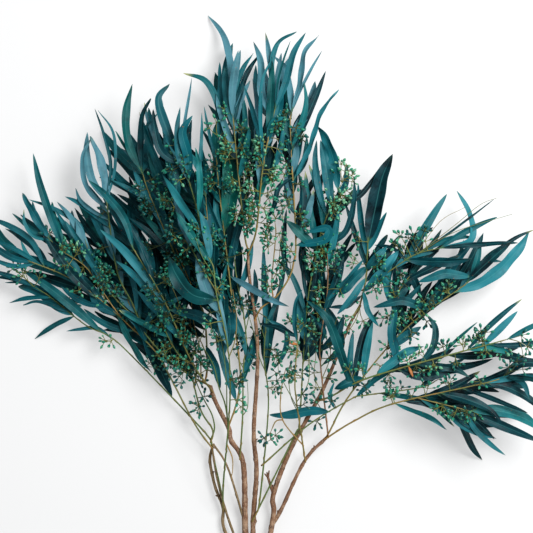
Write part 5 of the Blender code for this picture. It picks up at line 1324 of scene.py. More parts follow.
def dressed_leaf(heap, flat, faces, route, draw, tone):
    """One copy of the flat blade, bent along the way of its leaf."""
    root, stations, rolls, shares, width, _ = route
    curve = smooth_route([root] + stations, 10)
    curve_shares, length = travelled(curve)
    along = flat[:, 1]
    spine = np.array([tuple(p) for p in curve])
    centre = np.stack([np.interp(along, curve_shares, spine[:, k]) for k in range(3)], axis=1)
    row = np.linspace(0, 1, 60)
    line = np.stack([np.interp(row, curve_shares, spine[:, k]) for k in range(3)], axis=1)
    heading = np.gradient(line, axis=0)
    heading /= np.linalg.norm(heading, axis=1, keepdims=True)
    heading = np.stack([np.interp(along, row, heading[:, k]) for k in range(3)], axis=1)
    heading /= np.linalg.norm(heading, axis=1, keepdims=True)
    side = np.cross(heading, (0, 0, 1))
    side /= np.linalg.norm(side, axis=1, keepdims=True)
    roll = np.interp(along, [0] + shares, [0] + rolls)[:, None]
    up = np.cross(side, heading)
    side, up = side * np.cos(roll) + up * np.sin(roll), up * np.cos(roll) - side * np.sin(roll)
    full = width * CM
    wide = np.maximum(leaf_width(along) * full, STALK_WIDTH * (1 - along) + 0.0002)
    across = flat[:, 0] * wide
    fold = draw.uniform(*LEAF_FOLDS)
    wave = draw.uniform(*LEAF_WAVES) * full * np.clip(along * 4, 0, 1)
    turns = draw.uniform(*LEAF_RIPPLES) * length / 0.1
    phase = draw.uniform(*ANY_TURN)
    ripple = np.sin(along * turns * 2 * math.pi + phase + np.sign(flat[:, 0]) * 0.9)
    ripple *= (2 * np.abs(flat[:, 0])) ** 2
    lift = np.abs(across) * fold + wave * ripple
    skin = np.sign(flat[:, 2]) * (LEAF_SKIN + (0.0006 * np.clip(1 - along * 7, 0, 1))) / 2
    verts = centre + side * across[:, None] + up * (lift + skin)[:, None]
    verts[:, 2] = np.clip(verts[:, 2], OVER_FLOOR, LEAF_BELOW)
    place_across = np.sign(flat[:, 2]) * (flat[:, 0] + 0.502)
    places = np.stack([place_across, along, np.full(len(flat), length * 10)], axis=1)
    heap.add(verts, faces, tone, places)


def leaf_look(leaf, draw):
    """How blue, green, pale-tipped and dark a leaf is: as listed by its tip, or drawn, with painted shade on
    the leaves that lie low and on the shady sprays.
    """
    tip = Vector(leaf.route[5])
    for look, tips in LOOKS:
        if any((tip - Vector(listed)).length < SAME_TIP for listed in tips):
            return tuple(min(1, max(0, value + draw.uniform(-0.06, 0.06))) for value in look)
    # Painted shade: the lower a leaf lies, the darker it is made, and the shady sprays darker still; the
    # rest of the darkness is drawn at random
    low = 1 - min(leaf.high[2] / 0.06, 1)
    shade = min(1, 0.85 * draw.random() ** 1.4 + 0.45 * low)
    shade = min(1, shade * (SHADY if leaf.node in SHADY_SPRAYS else LESS_SHADE))
    blue = draw.random() ** 1.2
    green = 0.8 * draw.random() ** 4
    if leaf.node in SLATE_SPRAYS and draw.random() < SLATE_SHARE:
        blue, green, shade = 0.95, 0.85, shade * 0.5
    return blue, green, 0.7 if draw.random() < 0.12 else 0.05, shade


def leaf_finish():
    finish, shader, wire = new_finish("teal_leaf")
    where = wire.node("ShaderNodeTexCoord")["Object"]
    tone_node = wire.node("ShaderNodeAttribute", {"attribute_name": "tone"})
    tones = wire.node("ShaderNodeSeparateColor", None, Color=tone_node["Color"])
    blue = tones["Red"]
    green = tones["Green"]
    pale_tip = tones["Blue"]
    shade = tone_node["Alpha"]
    place = wire.node("ShaderNodeAttribute", {"attribute_name": "place"})["Vector"]
    parts = wire.node("ShaderNodeSeparateXYZ", None, Vector=place)
    upper = wire.maths("GREATER_THAN", parts["X"], 0.0)
    across = wire.maths("ABSOLUTE", wire.maths("ABSOLUTE", parts["X"]) - 0.5)
    along = parts["Y"]
    length = parts["Z"]
    patches = wire.noise(where, 38.0, 4.0, 0.6)
    fine = wire.noise(where, 700.0, 3.0, 0.6)
    colour = blue.mixed(LEAF_DEEP, LEAF_BLUE)
    colour = green.mixed(colour, LEAF_GREEN)
    colour = (blue * green).between(0.6, 0.85).mixed(colour, LEAF_MAUVE)
    colour = (wire.noise(where, 22.0, 2.0).between(0.5, 0.75) * 0.35).mixed(colour, LEAF_BLOOM)
    # Dark patches at random, and the painted shade of leaves that lie low, lie under others or belong to the
    # shady sprays
    colour = (patches.between(0.45, 0.7) * 0.35 + shade * 0.85).mixed(colour, LEAF_DARK_AND_SHADE)
    slant = wire.maths("SINE", (along * length - across * 0.35) * 210.0)
    veins = slant.between(0.72, 1.0) * (1 - across.between(0.38, 0.5)) * fine.between(0.3, 0.6)
    rib = (1 - across.between(0.012, 0.05)) * (1 - along.between(0.75, 1.0))
    colour = (veins * 0.16).mixed(colour, LEAF_VEIN)
    colour = (rib * 0.34).mixed(colour, LEAF_RIB)
    edge = across.between(0.44, 0.5)
    colour = (edge * 0.22).mixed(colour, LEAF_VEIN)
    colour = ((1 - upper) * 0.35).mixed(colour, LEAF_UNDER)
    speck = wire.noise(where, 420.0, 1.0).between(0.735, 0.77) * patches.between(0.45, 0.6)
    colour = (speck * 0.8).mixed(colour, LEAF_SPECK)
    tip = along.between(0.86, 0.99) * pale_tip
    colour = tip.mixed(colour, LEAF_TIP)
    stalk = 1 - along.between(0.02, 0.09)
    colour = (stalk * 0.75).mixed(colour, LEAF_STALK)
    rough = 0.36 + fine * 0.10 + patches * 0.10
    height = rib * 0.8 + veins * 0.35 + fine * 0.25
    plug_in(wire, shader, Base_Color=colour, Roughness=rough, Normal=wire.bump(height, 0.35, 0.0004))
    shader.inputs["Specular IOR Level"].default_value = 0.16
    return finish


SAME_TIP = 0.45
# The sprays where part of the leaves have a slate bloom
SLATE_SPRAYS = (
    "spray_top_left", "spray_top_middle", "spray_top_right", "spray_left_tall", "spray_left_upper",
)
SLATE_SHARE = 0.35
# The sprays whose leaves get more painted shade than the rest; the leaves of the others get less
SHADY_SPRAYS = (
    "spray_right_inner", "spray_right_middle", "spray_right_far", "spray_right_low", "spray_centre_right",
    "spray_centre", "spray_fork_left",
)
SHADY = 1.5
LESS_SHADE = 0.62
# Blueness, greenness, paleness of the tip and darkness, then the tips of the leaves that look so
LOOKS = (
    ((1.0, 0.0, 0.1, 0.0), ((9.4, 57.6), (34.2, 39.2), (37.5, 19.8), (32.6, 28.8), (24.7, 44.4))),
    ((1.0, 1.0, 0.1, 0.0), ((-22.9, 51.5), (-7.6, 67.2), (-1.8, 59), (2.9, 29.4), (-7, 32))),
    ((0.75, 0.15, 0.1, 0.0), ((-10.6, 30.8), (-13.5, 46.5), (17.6, 37), (13.8, 27.4), (20.4, 24.2))),
    ((0.1, 1.0, 0.1, 0.0), ((-22.8, 51.3), (-5.9, 50.5), (1.3, 45.8))),
    ((0.6, 0.0, 0.1, 0.35), ((-32.2, 32), (-17, 46), (1, 21.3))),
    ((0.2, 0.4, 0.0, 0.35), ((27.8, 37.6),)),
    ((0.1, 0.4, 0.0, 0.60), ((5.1, 30.3), (-12.7, 36))),
    ((0.8, 0.75, 0.1, 0.45), ((2.5, 40.6),)),
    ((0.05, 0.3, 1.0, 0.3), ((-10.8, 59.7), (5, 47), (5.5, 47.8), (5.2, 30.6), (24.4, 13.8))),
    ((0.1, 0.1, 0.0, 0.85), (
        (-29.5, 40), (-12.3, 17.8), (-15, 56.4), (-14.7, 55), (-18, 41), (-0.7, 62.3), (7.7, 60),
        (1.1, 52.9), (0.1, 40.8), (4.2, 46.6), (2.6, 42), (-0.9, 27.2), (10.2, 42.9), (20, 30.6),
        (17.4, 37.6), (37, 20.8), (36, 15.8), (30.4, 14.6), (28, 9.5), (32.6, 37.7))),
)
LEAF_DEEP = (0.0006, 0.092, 0.114, 1)
LEAF_BLUE = (0.0220, 0.162, 0.192, 1)
LEAF_MAUVE = (0.0720, 0.185, 0.228, 1)
LEAF_BLOOM = (0.0350, 0.190, 0.225, 1)
LEAF_GREEN = (0.0020, 0.130, 0.105, 1)
# Near-black teal for the random dark patches and for the painted shade
LEAF_DARK_AND_SHADE = (0.0002, 0.010, 0.015, 1)
LEAF_VEIN = (0.0220, 0.180, 0.200, 1)
LEAF_RIB = (0.0600, 0.230, 0.220, 1)
LEAF_UNDER = (0.0120, 0.120, 0.140, 1)
LEAF_SPECK = (0.260, 0.090, 0.022, 1)
LEAF_TIP = (0.330, 0.340, 0.150, 1)
LEAF_STALK = (0.060, 0.120, 0.045, 1)

for name, own_ways in started:
    grow_leaves(name, own_ways, LEAVES[name])
read_leaves = [solid for solid in placed if solid.is_leaf]

# Seed heads. Umbels of small pointed buds on thin stalks that leave the twigs.
# Every bud is a smooth oval capsule with a peaked cap, on its own short stalklet.
BUD_LENGTH = 0.0058
BUD_RADIUS = 0.0022
HUB_LENGTH = 0.0018
STALK_RADIUS = 0.0006
SHORTEST_STALK = 3 * HUB_LENGTH
BUD_OVER_SURFACE = 0.0002
BUD_FULLEST = 0.55
BUD_LEAN = 0.5
HEADS_BUILT_EVERY = 6
HEAD_HEIGHTS = (-0.5, 1.2)
HEAD_WIDENING = 0.1
HEAD_LOWEST = 0.6

# The plan centres of each spray's seed heads
SEED_HEADS = {
    "spray_far_left_low": (
        (-25, 31.2), (-29.5, 33.2), (-31.8, 33.4), (-33, 34.4),
    ),
    "spray_far_left_mid": (
        (-28.3, 38.9), (-26.6, 37.4), (-25.6, 37.4), (-24.4, 36.8), (-23.8, 34.4), (-22.5, 35),
        (-22, 32.5), (-21.2, 33), (-24.4, 31.4),
    ),
    "spray_left_tall": (
        (-19.4, 30.8), (-18, 34.4), (-21.4, 37),
    ),
    "spray_left_inner": (
        (-16.5, 44.4), (-15.6, 42.2), (-15.3, 42.6), (-13.4, 43.5), (-12.7, 43), (-12.3, 41.5),
        (-11.6, 41), (-15.2, 36.8), (-12.7, 33.5), (-9.2, 25.4), (-8.6, 22.8),
    ),
    "spray_left_mass": (
        (-11.4, 20.2), (-9.2, 23.6), (-10.4, 22.2), (-11.6, 22.6), (-12.2, 24.4), (-10.2, 25.4),
        (-12.6, 21.8), (-8.4, 22), (-9, 20.8), (-13.4, 23.6), (-11.2, 26.2), (-7.6, 21.4),
    ),
    "spray_left_upper": (
        (-12, 50.5), (-11.5, 48.6), (-10.8, 47.7), (-12.5, 47.3), (-11.4, 45.8), (-12.3, 38.9),
        (-10.3, 38), (-10.5, 36.7), (-9, 39.5), (-7.5, 38.9),
    ),
    "spray_centre_left": (
        (-8.7, 46), (-7.2, 47.6), (-5.5, 51.4), (-6.5, 53.4),
    ),
    "spray_inner_olive": (
        (-3.6, 29.8), (-2.2, 29.6),
    ),
    "spray_green_low": (
        (-12.6, 27.4), (-9.6, 24), (-10.6, 21),
    ),
    "spray_top_left": (
        (-4.8, 54.5), (-3.2, 52.4), (-5.4, 50.6), (-3, 50), (-2.4, 48), (-5, 48.5), (-2.6, 46.4),
        (-2.2, 43.4), (-1.9, 41.6), (-2.3, 39.6), (-4, 41.4),
    ),
    "spray_top_middle": (
        (-0.2, 49.4), (1, 47), (-2, 44.5), (0.3, 44), (-0.9, 50.9), (1.6, 49.8), (2, 51), (-0.2, 42.2),
        (0.2, 40.2), (-1.9, 42.4), (-2.4, 40.6),
    ),
    "spray_top_right": (
        (3.9, 52.6), (4.4, 51.6), (2.3, 53.8), (2.4, 54.6), (2.6, 47.5), (2.2, 46.6), (4.2, 45.3),
        (2.7, 43.3), (1.9, 42.6), (4.4, 41.4), (4.9, 40.9), (5, 39.8), (1.2, 41), (1.9, 38.9), (0.2, 37.7),
        (-0.2, 38.6), (1.9, 36.7), (1.6, 35.2), (0.1, 34), (1.3, 33.6), (0.2, 32), (1.5, 32.2),
        (2.2, 34.5), (3, 36.6),
    ),
    "spray_centre_right": (
        (9.7, 48), (10.4, 47), (11.2, 46.5), (8.9, 46.6), (8, 44.2), (10.4, 43.6), (8.8, 41.6),
        (6.2, 34.4), (7.8, 35), (6.8, 35.8), (8.6, 36.2), (7.6, 37.6), (9.2, 37.4), (5.6, 36.4),
        (8.2, 38.6), (6, 31.4), (4, 27.4), (5.9, 26.4), (3.9, 23.6), (5.6, 22.4), (3.6, 20.2),
    ),
    "spray_centre": (
        (0.8, 18.9), (1.5, 19.8), (1.3, 22.8), (0.9, 23.8), (-3.4, 29.2),
    ),
    "spray_crossing_low": (
        (6.6, 14.4), (8.4, 17.2), (12.7, 19.1), (16, 19), (17.5, 18.9), (6.4, 17.2),
    ),
    "spray_e_buds": (
        (-0.4, 12.3), (0.6, 12), (1.3, 12.6), (3, 21.4), (4.7, 20.8), (2.8, 20.4), (4.8, 18), (3, 17.6),
        (4.9, 16.7), (1.2, 20.8), (3.1, 23.5), (3, 27.6), (4.9, 27), (2.9, 25),
    ),
    "spray_fork_left": (
        (9, 32.3), (7, 31.9), (9.7, 31.6), (6.8, 30), (6, 29.3), (6.3, 24.3), (8.2, 24.5), (8.3, 22.7),
        (6, 20.8), (6.3, 18.8), (8.3, 20.2), (7, 34), (8.9, 34.2), (7.2, 36.4), (8.6, 36.6),
    ),
    "spray_right_low": (
        (16.4, 18), (20.4, 19), (23.6, 19.6), (29.4, 21.2), (32.6, 22.4),
    ),
    "spray_right_middle": (
        (17.4, 38.6), (18.4, 38.4), (19, 38.8), (16.8, 37.4), (15.5, 33.3), (17.5, 33.5), (14.4, 32.4),
        (20.6, 38), (14.6, 35.2),
    ),
    "spray_right_inner": (
        (17.4, 28), (18.6, 28), (19, 26), (20, 28.9), (20.9, 27.4), (20.3, 30.2), (21.4, 30.2),
        (22.4, 28.6), (23.4, 31.6), (14.3, 24), (14.8, 21.6), (16.6, 23.6), (13, 18.9), (11.4, 20.5),
    ),
    "spray_right_far": (
        (22.9, 24.3), (21.8, 21.6), (24.8, 22), (25.3, 24.6), (19.5, 21.2), (27.2, 24.9), (28.7, 23.4),
        (30.7, 23.8), (31.5, 26.2), (33.2, 25.7), (34, 24.1), (10.6, 21.4), (12.4, 21.2),
    ),
}

# Further seed heads set along each spray's twigs
MORE_HEADS = {
    "spray_left_mass": 18, "spray_left_inner": 16, "spray_left_upper": 14, "spray_left_tall": 8,
    "spray_far_left_mid": 6, "spray_far_left_low": 4, "spray_centre_left": 10, "spray_inner_olive": 6,
    "spray_green_low": 8, "spray_top_left": 4, "spray_top_middle": 5, "spray_centre_right": 8,
    "spray_right_inner": 8, "spray_right_middle": 5, "spray_right_low": 8, "spray_right_far": 5,
}


def seed_head(start, end):
    """A closed stalk that ends in four pointed buds: one ahead and three round it."""
    along = (end - start).normalized()
    side = along.orthogonal().normalized()
    verts = []
    for place in (start - along * ROOT_SINK, end - along * HUB_LENGTH, end):
        for k in range(3):
            verts.append(place + Matrix.Rotation(2 * math.pi * k / 3, 3, along) @ side * STALK_RADIUS)
    faces = [(2, 1, 0)] + [(k, (k + 1) % 3, 3 + (k + 1) % 3, 3 + k) for k in range(3)]
    hub = end - along * HUB_LENGTH / 2
    sockets = [((6, 7, 8), along, end)]
    for k in range(3):
        after = (k + 1) % 3
        outward = Matrix.Rotation(2 * math.pi * (k + 0.5) / 3, 3, along) @ side
        lean = (outward + along * BUD_LEAN).normalized()
        sockets.append(((3 + k, 3 + after, 6 + after, 6 + k), lean, hub))
    for socket, outward, root in sockets:
        centre = root + outward * BUD_LENGTH * BUD_FULLEST
        first = len(verts)
        for corner in socket:
            across = verts[corner] - root
            across -= outward * across.dot(outward)
            verts.append(centre + across.normalized() * BUD_RADIUS)
        verts.append(root + outward * BUD_LENGTH)
        count = len(socket)
        for k in range(count):
            after = (k + 1) % count
            faces.append((socket[k], socket[after], first + after, first + k))
            faces.append((first + k, first + after, first + count))
    return verts, faces


def grow_seed_head(node, own_ways, centre, draw):
    """A stalk with buds at its end, clear of all other sprays."""
    _, place, root, _ = closest_joint(own_ways, centre)
    others = [solid for solid in placed if solid.node != node]
    start = seen_from_above(place.x, place.y, root)
    for attempt in range(LEAF_TRIES):
        height = root + draw.uniform(*HEAD_HEIGHTS) * (1 + attempt * HEAD_WIDENING)
        end = seen_from_above(*centre, min(max(height, HEAD_LOWEST), HIGHEST))
        if (end - start).length < SHORTEST_STALK:
            end = start + (end - start).normalized() * SHORTEST_STALK
        head = Solid(node, *seed_head(start, end))
        if head.low[2] > BUD_OVER_SURFACE and is_clear(head, others):
            head.head = (start, end)
            return head
    return None


def grow_seed_heads(name, own_ways, first):
    """The listed seed heads of one spray: the first ones, or the rest between them."""
    for number, centre in enumerate(SEED_HEADS[name]):
        if (number % HEADS_BUILT_EVERY == 0) == first:
            draw = random.Random(f"{name} head {number}")
            keep(grow_seed_head(name, own_ways, centre, draw))


# Heads among the leaves that cross
DRAWN_HEADS = (
    ("spray_right_middle", ((11, 28), (10.8, 26.4), (11.4, 30.2), (14.2, 31.4), (12.6, 27.4))),
    ("spray_right_inner", ((15, 33), (17.8, 32.4))),
)


def pointed_bud():
    """The bud that all buds are copied from: its root at the origin, pointing along +Z, one high."""
    bpy.ops.object.select_all(action="DESELECT")
    bpy.ops.mesh.primitive_uv_sphere_add(segments=6, ring_count=7, radius=0.5, location=(0, 0, 0.5))
    bud = bpy.context.active_object
    bpy.ops.object.transform_apply(location=True)
    verts = np.array([tuple(v.co) for v in bud.data.vertices])
    faces = [tuple(face.vertices) for face in bud.data.polygons]
    bpy.data.objects.remove(bud, do_unlink=True)
    outline = np.interp(verts[:, 2], BUD_HEIGHTS, BUD_WIDTHS)
    reach = np.hypot(verts[:, 0], verts[:, 1])
    factor = np.where(reach > 1e-6, outline / np.maximum(reach, 1e-6), 0)
    verts[:, 0] *= factor
    verts[:, 1] *= factor
    return verts, faces


def umbel(heap, hub, along, count, spread, size, green, draw):
    """A ring of buds, each on its own stalklet, that spread from the hub like the ribs of an umbrella."""
    side = along.orthogonal().normalized()
    first_turn = draw.uniform(*ANY_TURN)
    for k in range(count):
        around = Matrix.Rotation(first_turn + 2.4 * k, 3, along) @ side
        lean = math.radians(spread * ((k + 0.3) / count) ** 0.6 + draw.uniform(-8, 8))
        outward = (along * math.cos(lean) + around * math.sin(lean)).normalized()
        reach = draw.uniform(*STALKLET_LENGTH) * size
        stalk_end = hub + outward * reach
        stalk_end.z = min(max(stalk_end.z, BUD_RADIUS), BUDS_BELOW)
        verts, faces = round_stem([hub, hub.lerp(stalk_end, 0.8), stalk_end], STALKLET_RADII, 4)
        heap.add(verts, faces, (green, 0, 0, 1), (0, 1, 0))
        big = draw.uniform(0.8, 1.15) * size
        turned = outward.to_track_quat("Z", "Y").to_matrix()
        scale = np.array((BUD_WIDE, BUD_WIDE, BUD_TALL)) * big
        shaped = (bud_verts * scale) @ np.array(turned).T + np.array(stalk_end)
        shaped[:, 2] = np.maximum(shaped[:, 2], OVER_FLOOR)
        heights = np.stack([bud_verts[:, 2], np.zeros(len(shaped)), np.zeros(len(shaped))], axis=1)
        look = min(1, max(0, green + draw.uniform(-0.25, 0.25)))
        heap.add(shaped, bud_faces, (look, draw.random(), 0, 1), heights)


def bud_stalk(heap, start, end, radius, green, draw):
    """A thin, slightly bent stalk. Returns the direction it ends in."""
    along = end - start
    bend = along.orthogonal().normalized() * draw.uniform(-0.1, 0.1) * along.length
    middle = start.lerp(end, 0.5) + bend
    middle.z = max(middle.z, radius * 2)
    centres, _ = even_steps([start, middle, end], 0.003)
    verts, faces = round_stem(centres, np.linspace(radius, radius * 0.75, len(centres)), 5)
    verts[:, 2] = np.maximum(verts[:, 2], OVER_FLOOR)
    heap.add(verts, faces, (green, 0, 0, 1), (0, 1, 0))
    return (end - middle).normalized()


BUD_HEIGHTS = (0.0, 0.05, 0.25, 0.5, 0.58, 0.64, 0.8, 0.93, 1.0)
BUD_WIDTHS = (0.06, 0.16, 0.33, 0.42, 0.44, 0.36, 0.22, 0.08, 0.0)
BUD_WIDE = 2.1 * BUD_RADIUS
BUD_TALL = 1.1 * BUD_LENGTH
STALKLET_LENGTH = (0.0045, 0.0080)
BUDS_IN_A_HEAD = (4, 7)
BUDS_IN_A_SIDE_HEAD = (3, 6)
HEAD_SPREAD = 100
SIDE_HEAD_SPREAD = 95
SIDE_HEAD_SIZE = 0.85
HEAD_STALK = 0.00065
SIDE_STALK = 0.0005
STALKLET_RADII = (0.00042, 0.00038, 0.0007)
BUDS_BELOW = 0.1040
# Seed heads of each spray that have fallen, by their number in the spray
FALLEN_HEADS = {
    "spray_far_left_low": (5, 7),
    "spray_centre_right": (26,),
    "spray_e_buds": (8,),
    "spray_right_low": (3,),
    "spray_right_inner": (8, 10, 14),
    "spray_right_far": (9,),
}
# How many smaller umbels branch off each head's stalk
SIDE_UMBELS = {
    "spray_e_buds": (0, 0), "spray_fork_left": (0, 1), "spray_crossing_low": (0, 0), "spray_centre": (0, 1),
    "spray_top_middle": (1, 3), "spray_top_left": (1, 3), "spray_far_left_low": (0, 1),
}


def bud_finish():
    finish, shader, wire = new_finish("seed_bud")
    where = wire.node("ShaderNodeTexCoord")["Object"]
    tone_node = wire.node("ShaderNodeAttribute", {"attribute_name": "tone"})
    tones = wire.node("ShaderNodeSeparateColor", None, Color=tone_node["Color"])
    place = wire.node("ShaderNodeAttribute", {"attribute_name": "place"})["Vector"]
    parts = wire.node("ShaderNodeSeparateXYZ", None, Vector=place)
    height = parts["X"]
    stalk = parts["Y"]
    grain = wire.noise(where, 900.0, 2.0)
    pale = tones["Red"]
    colour = pale.between(0.1, 0.7).mixed(BUD_TEAL, BUD_GREEN)
    colour = (pale.between(0.6, 1.1) * 0.8).mixed(colour, BUD_LIGHT)
    # Painted shade: each bud is darkened towards its stalk, where the buds crowd round the hub
    colour = (1 - height.between(0.0, 0.35)).mixed(colour, BUD_DARK_AND_SHADE)
    # The pointed tips paler and yellower: partly their own colour, partly a painted highlight
    colour = (height.between(0.8, 1.0) * tones["Green"]).mixed(colour, BUD_TIP_AND_HIGHLIGHT)
    rim = height.between(0.52, 0.57) * (1 - height.between(0.6, 0.66))
    colour = (rim * 0.5).mixed(colour, BUD_DARK_AND_SHADE)
    colour = (grain.between(0.55, 0.75) * 0.3).mixed(colour, BUD_DARK_AND_SHADE)
    colour = stalk.mixed(colour, pale.between(0.1, 0.8).mixed(BUD_STALK_DARK, BUD_STALK))
    bump = wire.bump(grain, 0.2, 0.0002)
    plug_in(wire, shader, Base_Color=colour, Roughness=0.3 + grain * 0.15, Normal=bump)
    return finish


BUD_TEAL = (0.002, 0.078, 0.076, 1)
BUD_GREEN = (0.020, 0.220, 0.135, 1)
BUD_LIGHT = (0.200, 0.400, 0.240, 1)
# Dark teal for the seam of the cap and the specks, and for the painted shade at the foot of each bud
BUD_DARK_AND_SHADE = (0.001, 0.030, 0.027, 1)
# Colour of the pointed tips, partly their own and partly a painted highlight
BUD_TIP_AND_HIGHLIGHT = (0.300, 0.360, 0.110, 1)
BUD_STALK = (0.170, 0.180, 0.050, 1)
BUD_STALK_DARK = (0.038, 0.055, 0.022, 1)
# How pale and yellowish each spray's buds are: 0 dark teal, 1 light green
BUD_PALENESS = {
    "spray_centre_right": 0.85, "spray_right_inner": 0.6, "spray_right_far": 0.6, "spray_right_middle": 0.55,
    "spray_top_left": 0.6, "spray_top_middle": 0.6, "spray_top_right": 0.5, "spray_left_upper": 0.45,
    "spray_far_left_mid": 0.65, "spray_far_left_low": 0.6, "spray_left_tall": 0.5, "spray_right_low": 0.4,
    "spray_fork_left": 0.4, "spray_e_buds": 0.2, "spray_crossing_low": 0.2, "spray_centre": 0.3,
    "spray_inner_olive": 0.25, "spray_left_inner": 0.3, "spray_left_mass": 0.4, "spray_centre_left": 0.4,
    "spray_green_low": 0.15,
}

for name, own_ways in started:
    grow_ruled_leaves(name, own_ways, RULED_LEAVES[name], True)
    grow_seed_heads(name, own_ways, True)
built = len(placed)
for name, own_ways in started:
    grow_ruled_leaves(name, own_ways, RULED_LEAVES[name], False)
    grow_seed_heads(name, own_ways, False)

for name, own_ways in started:
    draw = random.Random(f"{name} more heads")
    for _ in range(MORE_HEADS.get(name, 0)):
        way = own_ways[draw.randrange(len(own_ways))]
        shares, _ = travelled(way.points)
        share = draw.uniform(0.25, 1.0)
        base = at_share(way.points, shares, share)
        turn = draw.uniform(0, 2 * math.pi)
        centre = base + Vector((math.cos(turn), math.sin(turn))) * draw.uniform(0.8, 2.0)
        keep(grow_seed_head(name, own_ways, tuple(centre), draw))

for name, own_ways in started:
    for row, (twig, _, *rule) in enumerate(RULED_LEAVES[name] + INNER_ROWS.get(name, ())):
        draw = random.Random(f"{name} more {row}")
        for plan in ruled_leaves(own_ways[twig], FILLING.get(name, 0), *rule, draw):
            keep(grow_leaf(name, own_ways, plan[:-1], plan[-1] * WIDER, draw))

for name, centres in DRAWN_HEADS:
    draw = random.Random(f"{name} drawn heads")
    own_ways = dict(started)[name]
    for centre in centres:
        keep(grow_seed_head(name, own_ways, centre, draw))

for number, leaf in enumerate(placed[built:]):
    if leaf.is_leaf and any(hides(leaf, read) for read in read_leaves):
        tuck_under(leaf, random.Random(f"tucked {number}"))

blade_verts, blade_faces = flat_blade(LEAF_ACROSS, LEAF_ROWS)
plain_verts, plain_faces = flat_blade(4, 12)
teal = leaf_finish()
for name, own_ways in started:
    foliage = Heap()
    leaves = [solid for solid in placed if solid.node == name and solid.is_leaf]
    for number, leaf in enumerate(leaves):
        draw = random.Random(f"{name} look {number}")
        if number in FALLEN_LEAVES.get(name, ()):
            continue
        dressed_leaf(foliage, blade_verts, blade_faces, leaf.route, draw, leaf_look(leaf, draw))
    number = len(leaves) - 1
    for twig, count, heading, spread, first, last in UNDER_LEAVES.get(name, ()):
        draw = random.Random(f"{name} under {twig}")
        for k in range(count):
            share = first + (last - first) * (k + draw.uniform(-0.4, 0.4)) / count
            turn = math.radians(heading + draw.uniform(-spread, spread))
            route = under_leaf(own_ways[twig], min(max(share, 0.02), 0.98), turn, draw)
            # Painted shade for the leaf underneath
            shade = min(1, draw.uniform(*UNDER_SHADE) * (UNDER_SHADY if name in SHADY_SPRAYS else 1))
            number += 1
            if number in FALLEN_LEAVES.get(name, ()):
                continue
            tone = (draw.random() * 0.5, 0.2, 0, shade)
            dressed_leaf(foliage, plain_verts, plain_faces, route, draw, tone)
    for number, (look, plan, width) in enumerate(DRAWN_LEAVES.get(name, ())):
        draw = random.Random(f"{name} drawn {number}")
        route = drawn_leaf(own_ways, plan, width, draw)
        dressed_leaf(foliage, blade_verts, blade_faces, route, draw, look)
    foliage.finish(name + "_leaves", teal, name, "foliage")

bud_verts, bud_faces = pointed_bud()
bud_skin = bud_finish()
for name, own_ways in started:
    heads = [solid for solid in placed if solid.node == name and solid.head]
    if not heads:
        continue
    buds = Heap()
    for number, solid in enumerate(heads):
        draw = random.Random(f"{name} buds {number}")
        start, end = solid.head
        if number in FALLEN_HEADS.get(name, ()):
            continue
        green = min(1, max(0, BUD_PALENESS[name] + draw.uniform(-0.3, 0.3)))
        along = bud_stalk(buds, start, end, HEAD_STALK, green, draw)
        count = draw.randint(*BUDS_IN_A_HEAD)
        umbel(buds, end - along * HUB_LENGTH, along, count, HEAD_SPREAD, 1.0, green, draw)
        for branch in range(draw.randint(*SIDE_UMBELS.get(name, (0, 2)))):
            share = draw.uniform(0.15, 0.6)
            side = Vector((-along.y, along.x, draw.uniform(-0.5, 0.8))).normalized()
            side *= 1 if branch % 2 else -1
            outward = (along + side * draw.uniform(0.5, 1.2)).normalized()
            base = start.lerp(end, share)
            reach = min(max((end - start).length * draw.uniform(0.4, 0.75), 0.009), 0.022)
            tip = base + outward * reach
            tip.z = min(max(tip.z, 0.004), BUDS_BELOW)
            side_way = bud_stalk(buds, base, tip, SIDE_STALK, green, draw)
            count = draw.randint(*BUDS_IN_A_SIDE_HEAD)
            umbel(buds, tip, side_way, count, SIDE_HEAD_SPREAD, SIDE_HEAD_SIZE, green, draw)
    buds.finish(name + "_buds", bud_skin, name, "foliage")

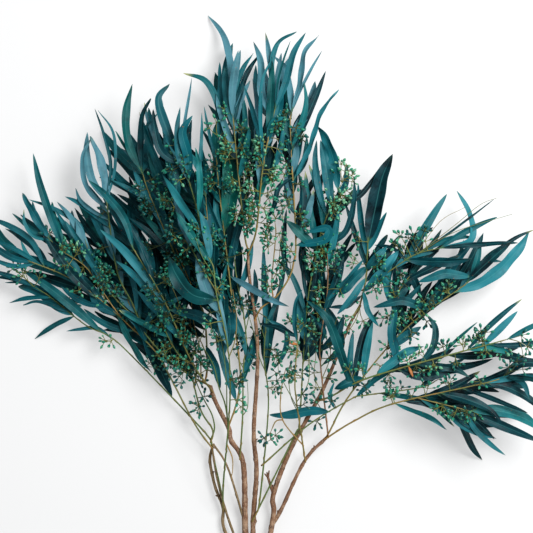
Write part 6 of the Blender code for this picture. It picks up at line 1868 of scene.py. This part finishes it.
# The surface that the branch lies on, plain and pale, far wider than the view.
FLOOR_SIZE = 30.0
FLOOR_COLOUR = (0.35, 0.35, 0.35, 1)
FLOOR_GLOW = 0.36
bpy.ops.object.select_all(action="DESELECT")
bpy.ops.mesh.primitive_plane_add(size=FLOOR_SIZE, location=(0, 0, 0))
floor = bpy.context.active_object
floor.name = "floor"
floor_finish, floor_shader, _ = new_finish("pale_floor")
floor_shader.inputs["Base Color"].default_value = FLOOR_COLOUR
floor_shader.inputs["Roughness"].default_value = 0.85
floor_shader.inputs["Emission Color"].default_value = (1, 1, 1, 1)
floor_shader.inputs["Emission Strength"].default_value = FLOOR_GLOW
floor_shader.inputs["Specular IOR Level"].default_value = 0.2
floor.data.materials.append(floor_finish)

# Light and camera. A pale room and one broad soft light above the upper right,
# and a long lens looking straight down on the middle of the spread.
ROOM_LIGHT = 0.5
SOFT_LIGHT_POWER = 60.0
SOFT_LIGHT_SIZE = 1.1
SOFT_LIGHT_PLACE = (1.0, 0.8, 1.8)
SENSOR = 36.0
VIEW_WIDTH = 0.692
room = bpy.data.worlds.new("room")
room.use_nodes = True
room.node_tree.nodes["Background"].inputs["Color"].default_value = (0.96, 0.98, 1.0, 1)
room.node_tree.nodes["Background"].inputs["Strength"].default_value = ROOM_LIGHT
bpy.context.scene.world = room
lamp = bpy.data.objects.new("soft_light", bpy.data.lights.new("soft_light", "AREA"))
lamp.data.shape = "SQUARE"
lamp.data.size = SOFT_LIGHT_SIZE
lamp.data.energy = SOFT_LIGHT_POWER
lamp.location = SOFT_LIGHT_PLACE
lamp.rotation_euler = (Vector((0, 0.05, 0)) - lamp.location).to_track_quat("-Z", "Y").to_euler()
bpy.context.scene.collection.objects.link(lamp)
camera = bpy.data.objects.new("camera", bpy.data.cameras.new("camera"))
camera.data.sensor_width = SENSOR
camera.data.lens = SENSOR * VIEW_HEIGHT * CM / VIEW_WIDTH
camera.location = (
    (VIEW_FOOT[0] - PLAN_ORIGIN[0]) * CM,
    (VIEW_FOOT[1] - PLAN_ORIGIN[1]) * CM,
    VIEW_HEIGHT * CM,
)
camera.rotation_euler = (0, 0, 0)
bpy.context.scene.collection.objects.link(camera)
bpy.context.scene.camera = camera
bpy.context.scene.view_settings.view_transform = "Standard"
bpy.context.scene.view_settings.look = "Medium High Contrast"
